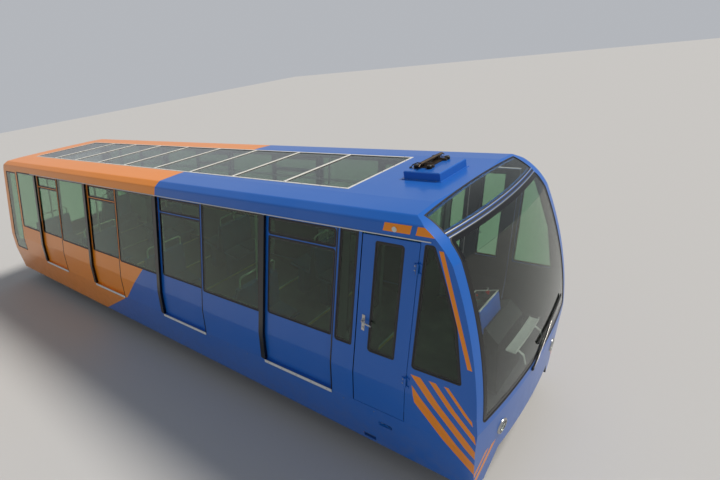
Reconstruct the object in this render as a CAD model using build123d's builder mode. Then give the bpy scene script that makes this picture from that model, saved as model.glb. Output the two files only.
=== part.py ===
"""Funicular car: one hollow glazed body on two swivelling bogies, with eight sliding doors and two cab doors.

The frame: X runs along the track and +X is uphill, Y across it, Z square to the rails.
The car stands on a slope, so its pillars, door edges and floor treads are plumb only out there.
Here they lean uphill by the slope of the line. Z = 0 is the lowest point of the wheel flanges.
"""

import os
from math import cos, radians, sin, tan

from build123d import *

os.makedirs("parts", exist_ok=True)

# The slope that the car is built for
SLOPE_DEG = 13.0
LEAN = tan(radians(SLOPE_DEG))

# Heights of the body's horizontal seams
Z_SKIRT = 310.0
Z_RAIL_LOW = 856.0
Z_LEDGE = 886.0
Z_CREASE = 1280.0
Z_SILL = 1590.0
Z_CORNICE = 2860.0
Z_SHOULDER = 2990.0
Z_EAVE = 3058.0
Z_ROOF = 3075.0

# Half widths of the body at those heights
Y_SKIRT = 1070.0
Y_LEDGE = 1190.0
Y_CREASE = 1225.0
Y_CORNICE = 1170.0
Y_SHOULDER = 1155.0
Y_EAVE = 1075.0
Y_FLAT = 760.0
SHOULDER_R = 45.0

WALL = 30.0
GLASS_T = 8.0
GLASS_IN = 3.0
WINDOW_R = 22.0

# Uphill end: the side view of the windscreen, from the skirt up to the roof
UP_LOW = (5990.0, Z_SKIRT)
UP_APRON = (6200.0, 1100.0)
UP_BULGE = (6243.0, 1720.0)
UP_TOP = (6120.0, 2680.0)
UP_HEADER = (5968.0, 2905.0)
UP_ROOF = (5690.0, Z_ROOF + 1.0)

# Both ends are bowed in plan about an upright axis this far behind the nose
BOW_R = 7400.0

# Doors: the uphill edge of the first opening at sill height, then one every pitch
DOOR_COUNT = 4
DOOR_UP_X = 4460.0
DOOR_PITCH = 2420.0
DOOR_W = 1120.0
LEAF_T = 30.0
LEAF_GAP = 8.0
LEAF_LAP = 20.0
LEAF_STILE = 48.0
LEAF_HEAD = 60.0
LEAF_TOP = 2880.0
LEAF_BAR_H = 34.0
TOP_LIGHT_H = 196.0
LEAF_BAR_Z = LEAF_TOP - LEAF_HEAD - TOP_LIGHT_H - LEAF_BAR_H
RUN_GAP = 0.3
WIDE_PILLAR = 80.0
THIN_PILLAR = 50.0

# Cab door, hinged at its uphill edge
CAB_UP_X = 5440.0
CAB_W = 660.0
CAB_GAP = 6.0
CAB_FREE_GAP = 12.0
CAB_TOP_GAP = 18.0
CAB_STILE = 165.0
CAB_HEAD = 60.0
NARROW_X = (DOOR_UP_X, CAB_UP_X - CAB_W)
HINGE_OUT = 16.0
HINGE_PIN_R = 6.0
HINGE_KNUCKLE_R = 13.0
HINGE_Z = (1400.0, 2600.0)
HINGE_LENGTH = 70.0
HINGE_EAR = 20.0
HINGE_END_GAP = 0.5
HINGE_REACH = 42.0
HINGE_PLATE_T = 8.0
HINGE_SINK = 1.0

# Steps cut in the skirt under the cab door: downhill end, length, foot and height
SKIRT_STEPS = ((4880.0, 170.0, 350.0, 55.0), (5110.0, 170.0, 650.0, 55.0))
STEP_R = 12.0

# Seams with the end shells; the last bay is shorter than the others
UP_SEAM_X = CAB_UP_X
LAST_BAY_CUT = 180.0
DOWN_SEAM_X = DOOR_UP_X - DOOR_COUNT * DOOR_PITCH + LAST_BAY_CUT

# Downhill end: nearly plumb on the slope, and as far beyond the last bay at any door pitch
NOSE_DOWN_X = DOWN_SEAM_X - 960.0
DOWN_LOW = (NOSE_DOWN_X - 295.0, Z_SKIRT)
DOWN_APRON = (NOSE_DOWN_X - 215.0, 700.0)
DOWN_BULGE = (NOSE_DOWN_X, 1650.0)
DOWN_TOP = (NOSE_DOWN_X + 345.0, 2880.0)
DOWN_EDGE = (NOSE_DOWN_X + 405.0, 3010.0)
DOWN_ROOF = (NOSE_DOWN_X + 545.0, Z_ROOF + 1.0)

# How far the cuts through an end reach in from its tip, and how far outside it they start
NOSE_REACH = 850.0
NOSE_OUT = 100.0
UP_CUT_X = (UP_BULGE[0] - NOSE_REACH, UP_BULGE[0] + NOSE_OUT)
DOWN_CUT_X = (DOWN_LOW[0] - NOSE_OUT, DOWN_LOW[0] + NOSE_REACH)

# Roof glazing
ROOF_GLASS_X = (DOWN_SEAM_X + 180.0, 4500.0)
ROOF_GLASS_Y = 660.0
ROOF_PANES = 9
RIB_W = 36.0
FRAME_W = 26.0
ROOF_RIB_T = 26.0

# Running gear
WHEEL_R = 250.0
FLANGE_R = 275.0
AXLE_Z = FLANGE_R
GAUGE = 1000.0
FLANGE_PLAY = 7.0
FLANGE_T = 28.0
TREAD_W = 105.0
AXLE_R = 55.0
FIT = 0.05
BOGIE_X = (NOSE_DOWN_X + 2100.0, 3900.0)
WHEELBASE = 1400.0
PIVOT_R = 60.0
HUB_R = 95.0
HUB_OUT = 12.0
RIM_R = 205.0
WEB_IN = 48.0
WEB_T = 26.0
FRAME_Y = 350.0
FRAME_T = 80.0
BOX_R = 105.0
BOX_FOOT = 30.0
FRAME_UP = 60.0
WAIST_UP = 20.0
BELLY_DOWN = 110.0
BELLY_HALF = 300.0
SHOULDER_HALF = 420.0
TRANSOM_L = 320.0
CHASSIS_LOW = 440.0
RUB_GAP = 0.3
BOGIE_TOP = CHASSIS_LOW - RUB_GAP
PIVOT_H = 90.0
PIVOT_CLEAR = 4.0
BOLSTER_L = 300.0
CROSS_H = 70.0
BEAM_Y = (690.0, 810.0)
BEAM_WEB = 12.0
BEAM_X = (NOSE_DOWN_X + 150.0, 5700.0)
CROSS_X = (DOWN_SEAM_X - 110.0, BOGIE_X[0] + 1200.0, -1620.0, -540.0, 540.0, 1620.0, 2700.0, 5150.0)
CROSS_W = 100.0

# Stepped floor: treads are level on the slope, so they lean back along the track here
TREAD_L = DOOR_PITCH / 2
TREAD_T = 30.0
TREAD_COUNT = 9
FLOOR_TOP = 880.0
FLOOR_IN = 84.0

BIG = 9000.0
Y_OUT = 1300.0
Z_OPEN = 100.0
HEAD_RAIL_Z = (2890.0, 2925.0)
SCREEN_R = 50.0
LAMP_Y = 720.0
LAMP_Z = 840.0
LAMP_R = 65.0
LAMP_OUT = 4.0
LAMP_DEEP = 70.0
LAMP_GAP = 1.0

# Cab and saloon fittings
SEAT_Y = (390.0, 1060.0)
SEAT_H = 440.0
BACK_H = 930.0
SEAT_D = 430.0
SEAT_T = 35.0
SEAT_FOOT = (0.25, 0.6)
BACK_U = 60.0
BACK_GAP = 1.0
RAIL_R = 16.0
RAIL_Y = 720.0
RAIL_Z = 2640.0
RAIL_X = (DOWN_SEAM_X + 90.0, 4200.0)
SCREEN_X = 4495.0
SCREEN_T = 30.0
SCREEN_GAP = 380.0
SCREEN_POST = 70.0
SCREEN_STILE = 110.0
SCREEN_HEAD = 90.0
SCREEN_FOOT_IN = 40.0
DESK_Y = (-330.0, 330.0)
DESK_SIDE = (
    (5430.0, 560.0),
    (5820.0, 560.0),
    (5920.0, 1280.0),
    (5940.0, 1420.0),
    (5820.0, 1560.0),
    (5460.0, 1440.0),
    (5430.0, 1380.0),
)
POD_X = (4940.0, 5400.0)
POD_Y = (-200.0, 400.0)
POD_H = 95.0
POD_EDGE = 10.0
COLLECTOR_X = 5110.0
COLLECTOR_Y = (-100.0, 380.0)
COLLECTOR_FOOT = (130.0, 384.0, 14.0)
COLLECTOR_POST = (22.0, 52.0)
COLLECTOR_ARM = (220.0, 26.0)
ARM_Y = 144.0
COLLECTOR_BAR_R = 14.0
COLLECTOR_BAR_UP = 58.0
SHOE = (60.0, 16.0)
SHOE_UP = 40.0

# Underframe fittings
BRAKE_X = (-1620.0, 1620.0)
BRAKE_YOKE = (240.0, 170.0, 150.0)
BRAKE_JAW = (200.0, 34.0)
JAW_OUT = 62.0
JAW_LOW = 45.0
RAIL_HALF = 62.5
HITCH_R = 70.0
HITCH_T = 60.0
HITCH_PIN_R = 30.0
HITCH_OUT = 110.0
HITCH_PLATE = 25.0
WIPER_W = 22.0
WIPER_BOSS_R = 24.0
WIPER_NEAR = 3.0
WIPER_FAR = 15.0
# Spindle, inner end of the blade and outer end of the blade, in front view (Y, Z)
WIPER_UP = ((-140.0, 1120.0), (-20.0, 1345.0), (900.0, 1415.0))
WIPER_DOWN = ((140.0, 930.0), (20.0, 1085.0), (-800.0, 1135.0))

# Glazing outlines: half front views (Y, Z) and side views (X, Z)
UP_SCREEN = ((1125.0, 1180.0), (1118.0, 1300.0), (1040.0, 2860.0))
UP_HEADER_GLASS = ((1030.0, 2905.0), (1000.0, 3200.0))
UP_CORNER_WINDOW = (
    (5485.0, 1575.0),
    (5992.0, 1575.0),
    (6002.0, 2120.0),
    (5938.0, 2480.0),
    (5862.0, 2830.0),
    (5776.0, 2830.0),
)
DOWN_SCREEN = ((1120.0, 1000.0), (1140.0, 1280.0), (1090.0, 2820.0))
DOWN_CORNER_WINDOW = (
    (NOSE_DOWN_X + 760.0, 960.0),
    (NOSE_DOWN_X + 1199.0, 2838.0),
    (NOSE_DOWN_X + 600.0, 2838.0),
    (NOSE_DOWN_X + 140.0, 960.0),
)
APRON_ARCH = ((880.0, 200.0), (880.0, 330.0), (700.0, 560.0))


def lean(x, z):
    """The X of a plumb edge at height z, when it passes x at the window sill."""
    return x + (z - Z_SILL) * LEAN


def wall_y(z):
    """Half width of the outer wall at a height between the ledge and the cornice."""
    if z <= Z_CREASE:
        return Y_LEDGE + (Y_CREASE - Y_LEDGE) * (z - Z_LEDGE) / (Z_CREASE - Z_LEDGE)
    return Y_CREASE + (Y_CORNICE - Y_CREASE) * (z - Z_CREASE) / (Z_CORNICE - Z_CREASE)


SKIRT_SLOPE = (Y_LEDGE - Y_SKIRT) / (Z_LEDGE - Z_SKIRT)

HALF_SECTION = (
    (Y_SKIRT - SKIRT_SLOPE * (Z_SKIRT - Z_OPEN), Z_OPEN),
    (Y_LEDGE, Z_LEDGE),
    (Y_CREASE, Z_CREASE),
    (Y_CORNICE, Z_CORNICE),
    (Y_SHOULDER, Z_SHOULDER),
    (Y_EAVE, Z_EAVE),
    (Y_FLAT, Z_ROOF),
)


def section_prism(inset, low=-BIG, high=BIG):
    """The body's cross-section, drawn in by inset, as one long prism along X."""
    with BuildPart() as prism:
        with BuildSketch(Plane.YZ.offset(low)) as section:
            with BuildLine():
                right = [(y, z) for y, z in HALF_SECTION]
                left = [(-y, z) for y, z in reversed(HALF_SECTION)]
                Polyline(*right, *left, close=True)
            make_face()
            shoulder = section.vertices().filter_by(lambda v: Z_CORNICE + 1 < v.Y < Z_ROOF - 1)
            fillet(shoulder, radius=SHOULDER_R)
            if inset:
                offset(amount=-inset, kind=Kind.INTERSECTION)
        extrude(amount=high - low)
    return prism.part


def arc_centre(a, b, c):
    """The centre of the arc through three points."""
    b, c = b - a, c - a
    cross = 2 * (b.X * c.Y - b.Y * c.X)
    bb, cc = b.dot(b), c.dot(c)
    return a + Vector(c.Y * bb - b.Y * cc, b.X * cc - c.X * bb) * (1 / cross)


def drawn_in(points, inset, sign):
    """An end's side view moved inwards: a line, two arcs and the flat roof, mitred where they meet."""
    low, apron, bulge, top, edge, roof = [Vector(*point) for point in points]
    face = (apron - low).normalized()
    lower = arc_centre(apron, bulge, top)
    upper = arc_centre(top, edge, roof)
    out = {
        "line": Vector(face.Y, -face.X) * sign,
        "up": Vector(0, 1),
    }

    def mitre(point, one, two):
        return point - (one + two) * (inset / (1 + one.dot(two)))

    return (
        low - out["line"] * inset,
        mitre(apron, out["line"], (apron - lower).normalized()),
        bulge - (bulge - lower).normalized() * inset,
        mitre(top, (top - lower).normalized(), (top - upper).normalized()),
        edge - (edge - upper).normalized() * inset,
        mitre(roof, (roof - upper).normalized(), out["up"]),
    )


def end_solid(inset, points, sign):
    """A body of revolution whose edge is one end's side view, its seam turned to lie beside the car."""
    axis_x = points[2][0] - sign * BOW_R
    low, apron, bulge, top, edge, roof = drawn_in(points, inset, sign)
    slope = (apron.X - low.X) / (apron.Y - low.Y)
    start = (low.X - slope * (low.Y - Z_OPEN), Z_OPEN)
    with BuildPart() as form:
        with BuildSketch(Plane.XZ):
            with BuildLine():
                Polyline((axis_x, Z_OPEN), start, apron)
                ThreePointArc(apron, bulge, top)
                ThreePointArc(top, edge, roof)
                Polyline(roof, (axis_x, roof.Y), (axis_x, Z_OPEN))
            make_face()
        revolve(axis=Axis((axis_x, 0, 0), (0, 0, 1)), revolution_arc=360)
    return form.part.rotate(Axis((axis_x, 0, 0), (0, 0, 1)), 90)


ROOF_SEAM_X = lean(UP_SEAM_X, Z_CORNICE)
UP_POINTS = (UP_LOW, UP_APRON, UP_BULGE, UP_TOP, UP_HEADER, UP_ROOF)
DOWN_POINTS = (DOWN_LOW, DOWN_APRON, DOWN_BULGE, DOWN_TOP, DOWN_EDGE, DOWN_ROOF)


def body_form(inset):
    """The whole body's form between its two ends, drawn in by inset on every side."""
    with BuildPart() as form:
        add(section_prism(inset))
        add(end_solid(inset, UP_POINTS, 1), mode=Mode.INTERSECT)
        add(end_solid(inset, DOWN_POINTS, -1), mode=Mode.INTERSECT)
    return form.part


def slab(points, y_low, y_high, corner=0.0):
    """A prism across the car with the given side view (X, Z)."""
    with BuildPart() as prism:
        with BuildSketch(Plane.XZ.offset(-y_high)):
            with BuildLine():
                Polyline(*points, close=True)
            make_face()
            if corner:
                fillet(vertices(), radius=corner)
        extrude(amount=y_high - y_low)
    return prism.part


def plumb_prism(x_down, x_up, z_low, z_high, corner=0.0, y_low=-Y_OUT, y_high=0.0):
    """A prism across the car whose two ends are plumb on the slope."""
    points = (
        (lean(x_down, z_low), z_low),
        (lean(x_up, z_low), z_low),
        (lean(x_up, z_high), z_high),
        (lean(x_down, z_high), z_high),
    )
    return slab(points, y_low, y_high, corner)


def front_prism(half_points, x_low, x_high, corner=0.0):
    """A prism along the car with the given front view, mirrored about the middle."""
    with BuildPart() as prism:
        with BuildSketch(Plane.YZ.offset(x_low)):
            with BuildLine():
                mirrored = [(-y, z) for y, z in reversed(half_points)]
                Polyline(*half_points, *mirrored, close=True)
            make_face()
            if corner:
                fillet(vertices(), radius=corner)
        extrude(amount=x_high - x_low)
    return prism.part


def band(near, far):
    """The side walls and roof between two depths below the outer surface, as one long ring."""
    with BuildPart() as ring:
        add(section_prism(near))
        add(section_prism(far), mode=Mode.SUBTRACT)
    return ring.part


def other_side(piece):
    """The same piece on the left side of the car."""
    return mirror(piece, about=Plane.XZ)


def save(piece, label):
    """Labels a finished piece and writes it."""
    piece.label = label
    export_step(piece, f"parts/{label}.step")
    print(label, len(piece.solids()), round(piece.volume / 1e6, 1))


OUTER = body_form(0)
INNER = body_form(WALL)
GLASS_OUTER = body_form(GLASS_IN)
GLASS_INNER = body_form(GLASS_IN + GLASS_T)


def skin(region, outer=OUTER, inner=INNER):
    """The part of the body's skin that lies in a region."""
    with BuildPart() as piece:
        add(region)
        add(outer, mode=Mode.INTERSECT)
        add(inner, mode=Mode.SUBTRACT)
    return piece.part


WALL_BAND = band(0, WALL)
GLASS_BAND = band(GLASS_IN, GLASS_IN + GLASS_T)


# Side panels with the fixed windows, one to each bay between the doors
def side_bays():
    """Rows of panel and window: downhill and uphill edge of each, at sill height."""
    rows = [(NARROW_X[0], NARROW_X[1], NARROW_X[0] + THIN_PILLAR, NARROW_X[1] - THIN_PILLAR)]
    for number in range(DOOR_COUNT):
        up = DOOR_UP_X - number * DOOR_PITCH - DOOR_W
        down = max(DOOR_UP_X - (number + 1) * DOOR_PITCH, DOWN_SEAM_X)
        rows.append((down, up, down + THIN_PILLAR, up - WIDE_PILLAR))
    return rows


with BuildPart() as side_windows:
    for down, up, window_down, window_up in side_bays():
        add(plumb_prism(window_down, window_up, Z_SILL, Z_CORNICE + 2 * WINDOW_R, WINDOW_R))
with BuildPart() as side_panels:
    for down, up, window_down, window_up in side_bays():
        add(plumb_prism(down, up, Z_LEDGE, Z_CORNICE))
    add(WALL_BAND, mode=Mode.INTERSECT)
    add(side_windows.part, mode=Mode.SUBTRACT)
save(side_panels.part, "side_panels_right")
save(other_side(side_panels.part), "side_panels_left")

with BuildPart() as side_glass:
    add(side_windows.part)
    add(plumb_prism(DOWN_SEAM_X, UP_SEAM_X, Z_LEDGE, Z_CORNICE), mode=Mode.INTERSECT)
    add(GLASS_BAND, mode=Mode.INTERSECT)
save(side_glass.part, "side_glass_right")
save(other_side(side_glass.part), "side_glass_left")

with BuildPart() as skirt:
    add(plumb_prism(DOWN_SEAM_X, UP_SEAM_X, Z_SKIRT, Z_RAIL_LOW))
    add(WALL_BAND, mode=Mode.INTERSECT)
    for down, length, foot, height in SKIRT_STEPS:
        add(plumb_prism(down, down + length, foot, foot + height, STEP_R), mode=Mode.SUBTRACT)
save(skirt.part, "skirt_right")
save(other_side(skirt.part), "skirt_left")

# Door rails: the sill that the leaves run on and the head rail behind the cornice
with BuildPart() as head_rail:
    add(plumb_prism(DOWN_SEAM_X, DOOR_UP_X + LEAF_LAP, HEAD_RAIL_Z[0], HEAD_RAIL_Z[1]))
    add(band(WALL, FLOOR_IN), mode=Mode.INTERSECT)
with BuildPart() as door_rails:
    add(plumb_prism(DOWN_SEAM_X, UP_SEAM_X, Z_RAIL_LOW, Z_LEDGE))
    add(band(0, FLOOR_IN), mode=Mode.INTERSECT)
    add(head_rail.part)
save(door_rails.part, "door_rails_right")
save(other_side(door_rails.part), "door_rails_left")

# Sliding door leaves, each with its own pane, on the inner side of the wall
LEAF_NEAR = WALL + LEAF_GAP
LEAF_BAND = band(LEAF_NEAR, LEAF_NEAR + LEAF_T)
PANE_BAND = band(LEAF_NEAR + GLASS_IN, LEAF_NEAR + GLASS_IN + GLASS_T)
for number in range(DOOR_COUNT):
    up = DOOR_UP_X - number * DOOR_PITCH + LEAF_LAP
    down = up - DOOR_W - 2 * LEAF_LAP
    edges = (down + LEAF_STILE + LEAF_LAP, up - LEAF_STILE - LEAF_LAP)
    with BuildPart() as opening:
        add(plumb_prism(*edges, Z_SILL, LEAF_BAR_Z, WINDOW_R))
        add(plumb_prism(*edges, LEAF_BAR_Z + LEAF_BAR_H, LEAF_TOP - LEAF_HEAD, WINDOW_R))
    with BuildPart() as leaf:
        add(plumb_prism(down, up, Z_LEDGE + RUN_GAP, LEAF_TOP))
        add(LEAF_BAND, mode=Mode.INTERSECT)
        add(opening.part, mode=Mode.SUBTRACT)
    with BuildPart() as pane:
        add(opening.part)
        add(PANE_BAND, mode=Mode.INTERSECT)
    save(leaf.part, f"door_leaf_right_{number + 1}")
    save(other_side(leaf.part), f"door_leaf_left_{number + 1}")
    save(pane.part, f"door_glass_right_{number + 1}")
    save(other_side(pane.part), f"door_glass_left_{number + 1}")

# Cab doors, hinged outside the wall at their uphill edge
CAB_DOWN_X = CAB_UP_X - CAB_W
WALL_LEAN = (Y_CREASE - Y_CORNICE) / (Z_CORNICE - Z_CREASE)


def hinge_plane(z):
    """A plane across the hinge line of the right cab door: X to the door, Y outwards, Z up the line."""
    line = Vector(LEAN, WALL_LEAN, 1)
    origin = (lean(CAB_UP_X, z) - CAB_GAP / 2, WALL_LEAN * (z - Z_CREASE) - Y_CREASE - HINGE_OUT, z)
    return Plane(origin=origin, x_dir=(-1, 0, LEAN), z_dir=line)


def hinge_plate(z, along, length, reach):
    """A knuckle on the hinge line with its plate let into the wall, to the door's side where reach is > 0."""
    with BuildPart() as plate:
        with BuildSketch(hinge_plane(z).offset(along)):
            Circle(HINGE_KNUCKLE_R)
            with Locations((reach / 2, -(HINGE_OUT + HINGE_PLATE_T + HINGE_SINK) / 2)):
                Rectangle(abs(reach), HINGE_OUT - HINGE_PLATE_T + HINGE_SINK)
        extrude(amount=length)
    return plate.part


cab_window = plumb_prism(
    CAB_DOWN_X + CAB_FREE_GAP + CAB_STILE,
    CAB_UP_X - CAB_GAP - CAB_STILE,
    Z_SILL,
    Z_CORNICE - CAB_TOP_GAP - CAB_HEAD,
    WINDOW_R,
)
with BuildPart() as cab_door:
    leaf_x = (CAB_DOWN_X + CAB_FREE_GAP, CAB_UP_X - CAB_GAP)
    add(plumb_prism(*leaf_x, Z_LEDGE + CAB_GAP, Z_CORNICE - CAB_TOP_GAP))
    add(WALL_BAND, mode=Mode.INTERSECT)
    add(cab_window, mode=Mode.SUBTRACT)
    for z in HINGE_Z:
        add(hinge_plate(z, -HINGE_LENGTH / 2, HINGE_LENGTH, HINGE_REACH))
        with BuildSketch(hinge_plane(z).offset(-HINGE_LENGTH)):
            Circle(HINGE_PIN_R + FIT)
        extrude(amount=2 * HINGE_LENGTH, mode=Mode.SUBTRACT)
with BuildPart() as cab_pane:
    add(cab_window)
    add(GLASS_BAND, mode=Mode.INTERSECT)
save(cab_door.part, "cab_door_right")
save(other_side(cab_door.part), "cab_door_left")
save(cab_pane.part, "cab_glass_right")
save(other_side(cab_pane.part), "cab_glass_left")

with BuildPart() as post_hinges:
    for z in HINGE_Z:
        for along in (-HINGE_LENGTH / 2 - HINGE_END_GAP - HINGE_EAR, HINGE_LENGTH / 2 + HINGE_END_GAP):
            add(hinge_plate(z, along, HINGE_EAR, -HINGE_REACH))
        with BuildSketch(hinge_plane(z).offset(-HINGE_LENGTH / 2 - HINGE_EAR)):
            Circle(HINGE_PIN_R)
        extrude(amount=HINGE_LENGTH + 2 * HINGE_EAR)
POST_HINGES = post_hinges.part

# Roof shell from the cornice up, with the long glazed opening
ROOF_SIDE = (
    (-BIG, Z_CORNICE),
    (ROOF_SEAM_X, Z_CORNICE),
    (UP_ROOF[0], Z_ROOF + WALL),
    (-BIG, Z_ROOF + WALL),
)
with BuildPart() as roof:
    add(skin(slab(ROOF_SIDE, -Y_OUT, Y_OUT)))
    glass_x = sum(ROOF_GLASS_X) / 2
    glass_l = ROOF_GLASS_X[1] - ROOF_GLASS_X[0]
    with Locations((glass_x, 0, Z_ROOF)):
        Box(glass_l, 2 * ROOF_GLASS_Y, 4 * WALL, mode=Mode.SUBTRACT)
save(roof.part, "roof_shell")

# Roof glazing bars and panes, set in that opening
pane_l = (glass_l - 2 * FRAME_W - (ROOF_PANES - 1) * RIB_W) / ROOF_PANES
pane_w = 2 * (ROOF_GLASS_Y - FRAME_W)
with BuildPart() as roof_bars:
    with Locations((glass_x, 0, Z_ROOF)):
        Box(glass_l, 2 * ROOF_GLASS_Y, ROOF_RIB_T, align=(Align.CENTER, Align.CENTER, Align.MAX))
    with Locations((glass_x, 0, Z_ROOF)):
        with GridLocations(pane_l + RIB_W, 1, ROOF_PANES, 1):
            Box(pane_l, pane_w, 3 * ROOF_RIB_T, mode=Mode.SUBTRACT)
save(roof_bars.part, "roof_bars")
with BuildPart() as roof_glass:
    with Locations((glass_x, 0, Z_ROOF - GLASS_IN)):
        with GridLocations(pane_l + RIB_W, 1, ROOF_PANES, 1):
            Box(pane_l, pane_w, GLASS_T, align=(Align.CENTER, Align.CENTER, Align.MAX))
save(roof_glass.part, "roof_glass")

# End lamps, set through the aprons
LAMP_OUTER = body_form(-LAMP_OUT)
LAMP_INNER = body_form(LAMP_DEEP)
LAMP_ROOM = body_form(LAMP_DEEP + LAMP_GAP)


def lamp_beams(x_low, x_high, radius=LAMP_R):
    """Two round prisms along the car at the lamps."""
    with BuildPart() as beams:
        with BuildSketch(Plane.YZ.offset(x_low)):
            with Locations((-LAMP_Y, LAMP_Z), (LAMP_Y, LAMP_Z)):
                Circle(radius)
        extrude(amount=x_high - x_low)
    return beams.part


with BuildPart() as end_lamps:
    add(skin(lamp_beams(*UP_CUT_X), LAMP_OUTER, LAMP_INNER))
    add(skin(lamp_beams(*DOWN_CUT_X), LAMP_OUTER, LAMP_INNER))
save(end_lamps.part, "end_lamps")

# Uphill end shell with its windscreen, header glass and corner windows
up_side = (
    (lean(UP_SEAM_X, Z_SKIRT), Z_SKIRT),
    (BIG, Z_SKIRT),
    (BIG, Z_ROOF + WALL),
    (UP_ROOF[0], Z_ROOF + WALL),
    (ROOF_SEAM_X, Z_CORNICE),
)
up_screen = front_prism(UP_SCREEN, *UP_CUT_X, SCREEN_R)
up_header_view = front_prism(UP_HEADER_GLASS, *UP_CUT_X)
up_corner = slab(UP_CORNER_WINDOW, -Y_OUT, Y_OUT, WINDOW_R)
up_arch = front_prism(APRON_ARCH, *UP_CUT_X)
with BuildPart() as nose_up:
    add(skin(slab(up_side, -Y_OUT, Y_OUT)))
    add(up_screen, mode=Mode.SUBTRACT)
    add(up_header_view, mode=Mode.SUBTRACT)
    add(up_corner, mode=Mode.SUBTRACT)
    add(up_arch, mode=Mode.SUBTRACT)
    add(lamp_beams(*UP_CUT_X), mode=Mode.SUBTRACT)
    add(POST_HINGES)
    add(other_side(POST_HINGES))
save(nose_up.part, "nose_uphill")
save(skin(up_screen, GLASS_OUTER, GLASS_INNER), "windscreen_uphill")
with BuildPart() as header_up:
    add(skin(up_header_view, GLASS_OUTER, GLASS_INNER))
    add(slab(up_side, -Y_OUT, Y_OUT), mode=Mode.INTERSECT)
save(header_up.part, "header_glass_uphill")
save(skin(up_corner, GLASS_OUTER, GLASS_INNER), "corner_glass_uphill")

# Downhill end shell, glazed down to the floor
down_side = (
    (-BIG, Z_SKIRT),
    (lean(DOWN_SEAM_X, Z_SKIRT), Z_SKIRT),
    (lean(DOWN_SEAM_X, Z_CORNICE), Z_CORNICE),
    (-BIG, Z_CORNICE),
)
down_screen = front_prism(DOWN_SCREEN, *DOWN_CUT_X, SCREEN_R)
down_corner = slab(DOWN_CORNER_WINDOW, -Y_OUT, Y_OUT, WINDOW_R)
down_arch = front_prism(APRON_ARCH, *DOWN_CUT_X)
with BuildPart() as nose_down:
    add(skin(slab(down_side, -Y_OUT, Y_OUT)))
    add(down_screen, mode=Mode.SUBTRACT)
    add(down_corner, mode=Mode.SUBTRACT)
    add(down_arch, mode=Mode.SUBTRACT)
    add(lamp_beams(*DOWN_CUT_X), mode=Mode.SUBTRACT)
save(nose_down.part, "nose_downhill")
save(skin(down_screen, GLASS_OUTER, GLASS_INNER), "windscreen_downhill")
save(skin(down_corner, GLASS_OUTER, GLASS_INNER), "corner_glass_downhill")

# Stepped floor, cut to the inside of the body
TREAD_RUN = TREAD_L / (1 + LEAN * LEAN)
TREAD_DROP = TREAD_RUN * LEAN
STEP_X0 = lean(DOOR_UP_X, FLOOR_TOP)


def tread_line(shift_x, shift_z):
    """The sawtooth of treads and risers from the downhill end to the uphill end."""
    points = []
    for number in range(TREAD_COUNT, -3, -1):
        foot = STEP_X0 - number * TREAD_L
        points.append((foot + shift_x, FLOOR_TOP + shift_z))
        points.append((foot + TREAD_RUN + shift_x, FLOOR_TOP - TREAD_DROP + shift_z))
    return points


BELOW_FLOOR = slab(tread_line(0, 0) + [(BIG, 0), (-BIG, 0)], -Y_OUT, Y_OUT)

with BuildPart() as floor_deck:
    add(slab(tread_line(0, 0) + tread_line(TREAD_T / 2, -TREAD_T)[::-1], -Y_OUT, Y_OUT))
    add(section_prism(FLOOR_IN), mode=Mode.INTERSECT)
    add(body_form(WALL), mode=Mode.INTERSECT)
    for cut_x in (UP_CUT_X, DOWN_CUT_X):
        add(skin(lamp_beams(*cut_x, LAMP_R + LAMP_GAP), LAMP_OUTER, LAMP_ROOM), mode=Mode.SUBTRACT)
save(floor_deck.part, "floor_deck")

# Underframe: two channel beams, cross members with outriggers to the skirts, and the bogie bolsters
CHASSIS_TOP = FLOOR_TOP - TREAD_DROP - TREAD_T
CHASSIS_H = CHASSIS_TOP - CHASSIS_LOW
HANGING = (Align.CENTER, Align.CENTER, Align.MAX)
STANDING = (Align.CENTER, Align.CENTER, Align.MIN)
with BuildPart() as chassis:
    with BuildSketch(Plane.YZ.offset(BEAM_X[0])):
        for side in (-1, 1):
            with Locations((side * (BEAM_Y[0] + BEAM_Y[1]) / 2, (CHASSIS_LOW + CHASSIS_TOP) / 2)):
                Rectangle(BEAM_Y[1] - BEAM_Y[0], CHASSIS_H)
            with Locations((side * (BEAM_Y[0] + BEAM_Y[1] + BEAM_WEB) / 2, (CHASSIS_LOW + CHASSIS_TOP) / 2)):
                Rectangle(BEAM_Y[1] - BEAM_Y[0], CHASSIS_H - 2 * BEAM_WEB, mode=Mode.SUBTRACT)
    extrude(amount=BEAM_X[1] - BEAM_X[0])
    for x in CROSS_X:
        with Locations((x, 0, CHASSIS_TOP)):
            Box(CROSS_W, 2 * Y_OUT, CROSS_H, align=HANGING)
    for centre in BOGIE_X:
        with Locations((centre, 0, CHASSIS_TOP)):
            Box(BOLSTER_L, 2 * BEAM_Y[0] + BEAM_WEB, CHASSIS_H, align=HANGING)
    for x in (BEAM_X[0] + CROSS_W / 2, BEAM_X[1] - CROSS_W / 2):
        with Locations((x, 0, CHASSIS_TOP)):
            Box(CROSS_W, 2 * BEAM_Y[1], CHASSIS_H, align=HANGING)
    add(body_form(WALL), mode=Mode.INTERSECT)
    with Locations(*[(centre, 0, CHASSIS_LOW) for centre in BOGIE_X]):
        Cylinder(PIVOT_R + FIT, 2 * PIVOT_H, mode=Mode.SUBTRACT)
save(chassis.part, "chassis_frame")

# Wheelsets: an axle and two flanged wheels as one piece, turned about Y
FLANGE_BACK = GAUGE / 2 - FLANGE_PLAY - FLANGE_T
WHEEL_FACE = FLANGE_BACK + FLANGE_T + TREAD_W


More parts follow.
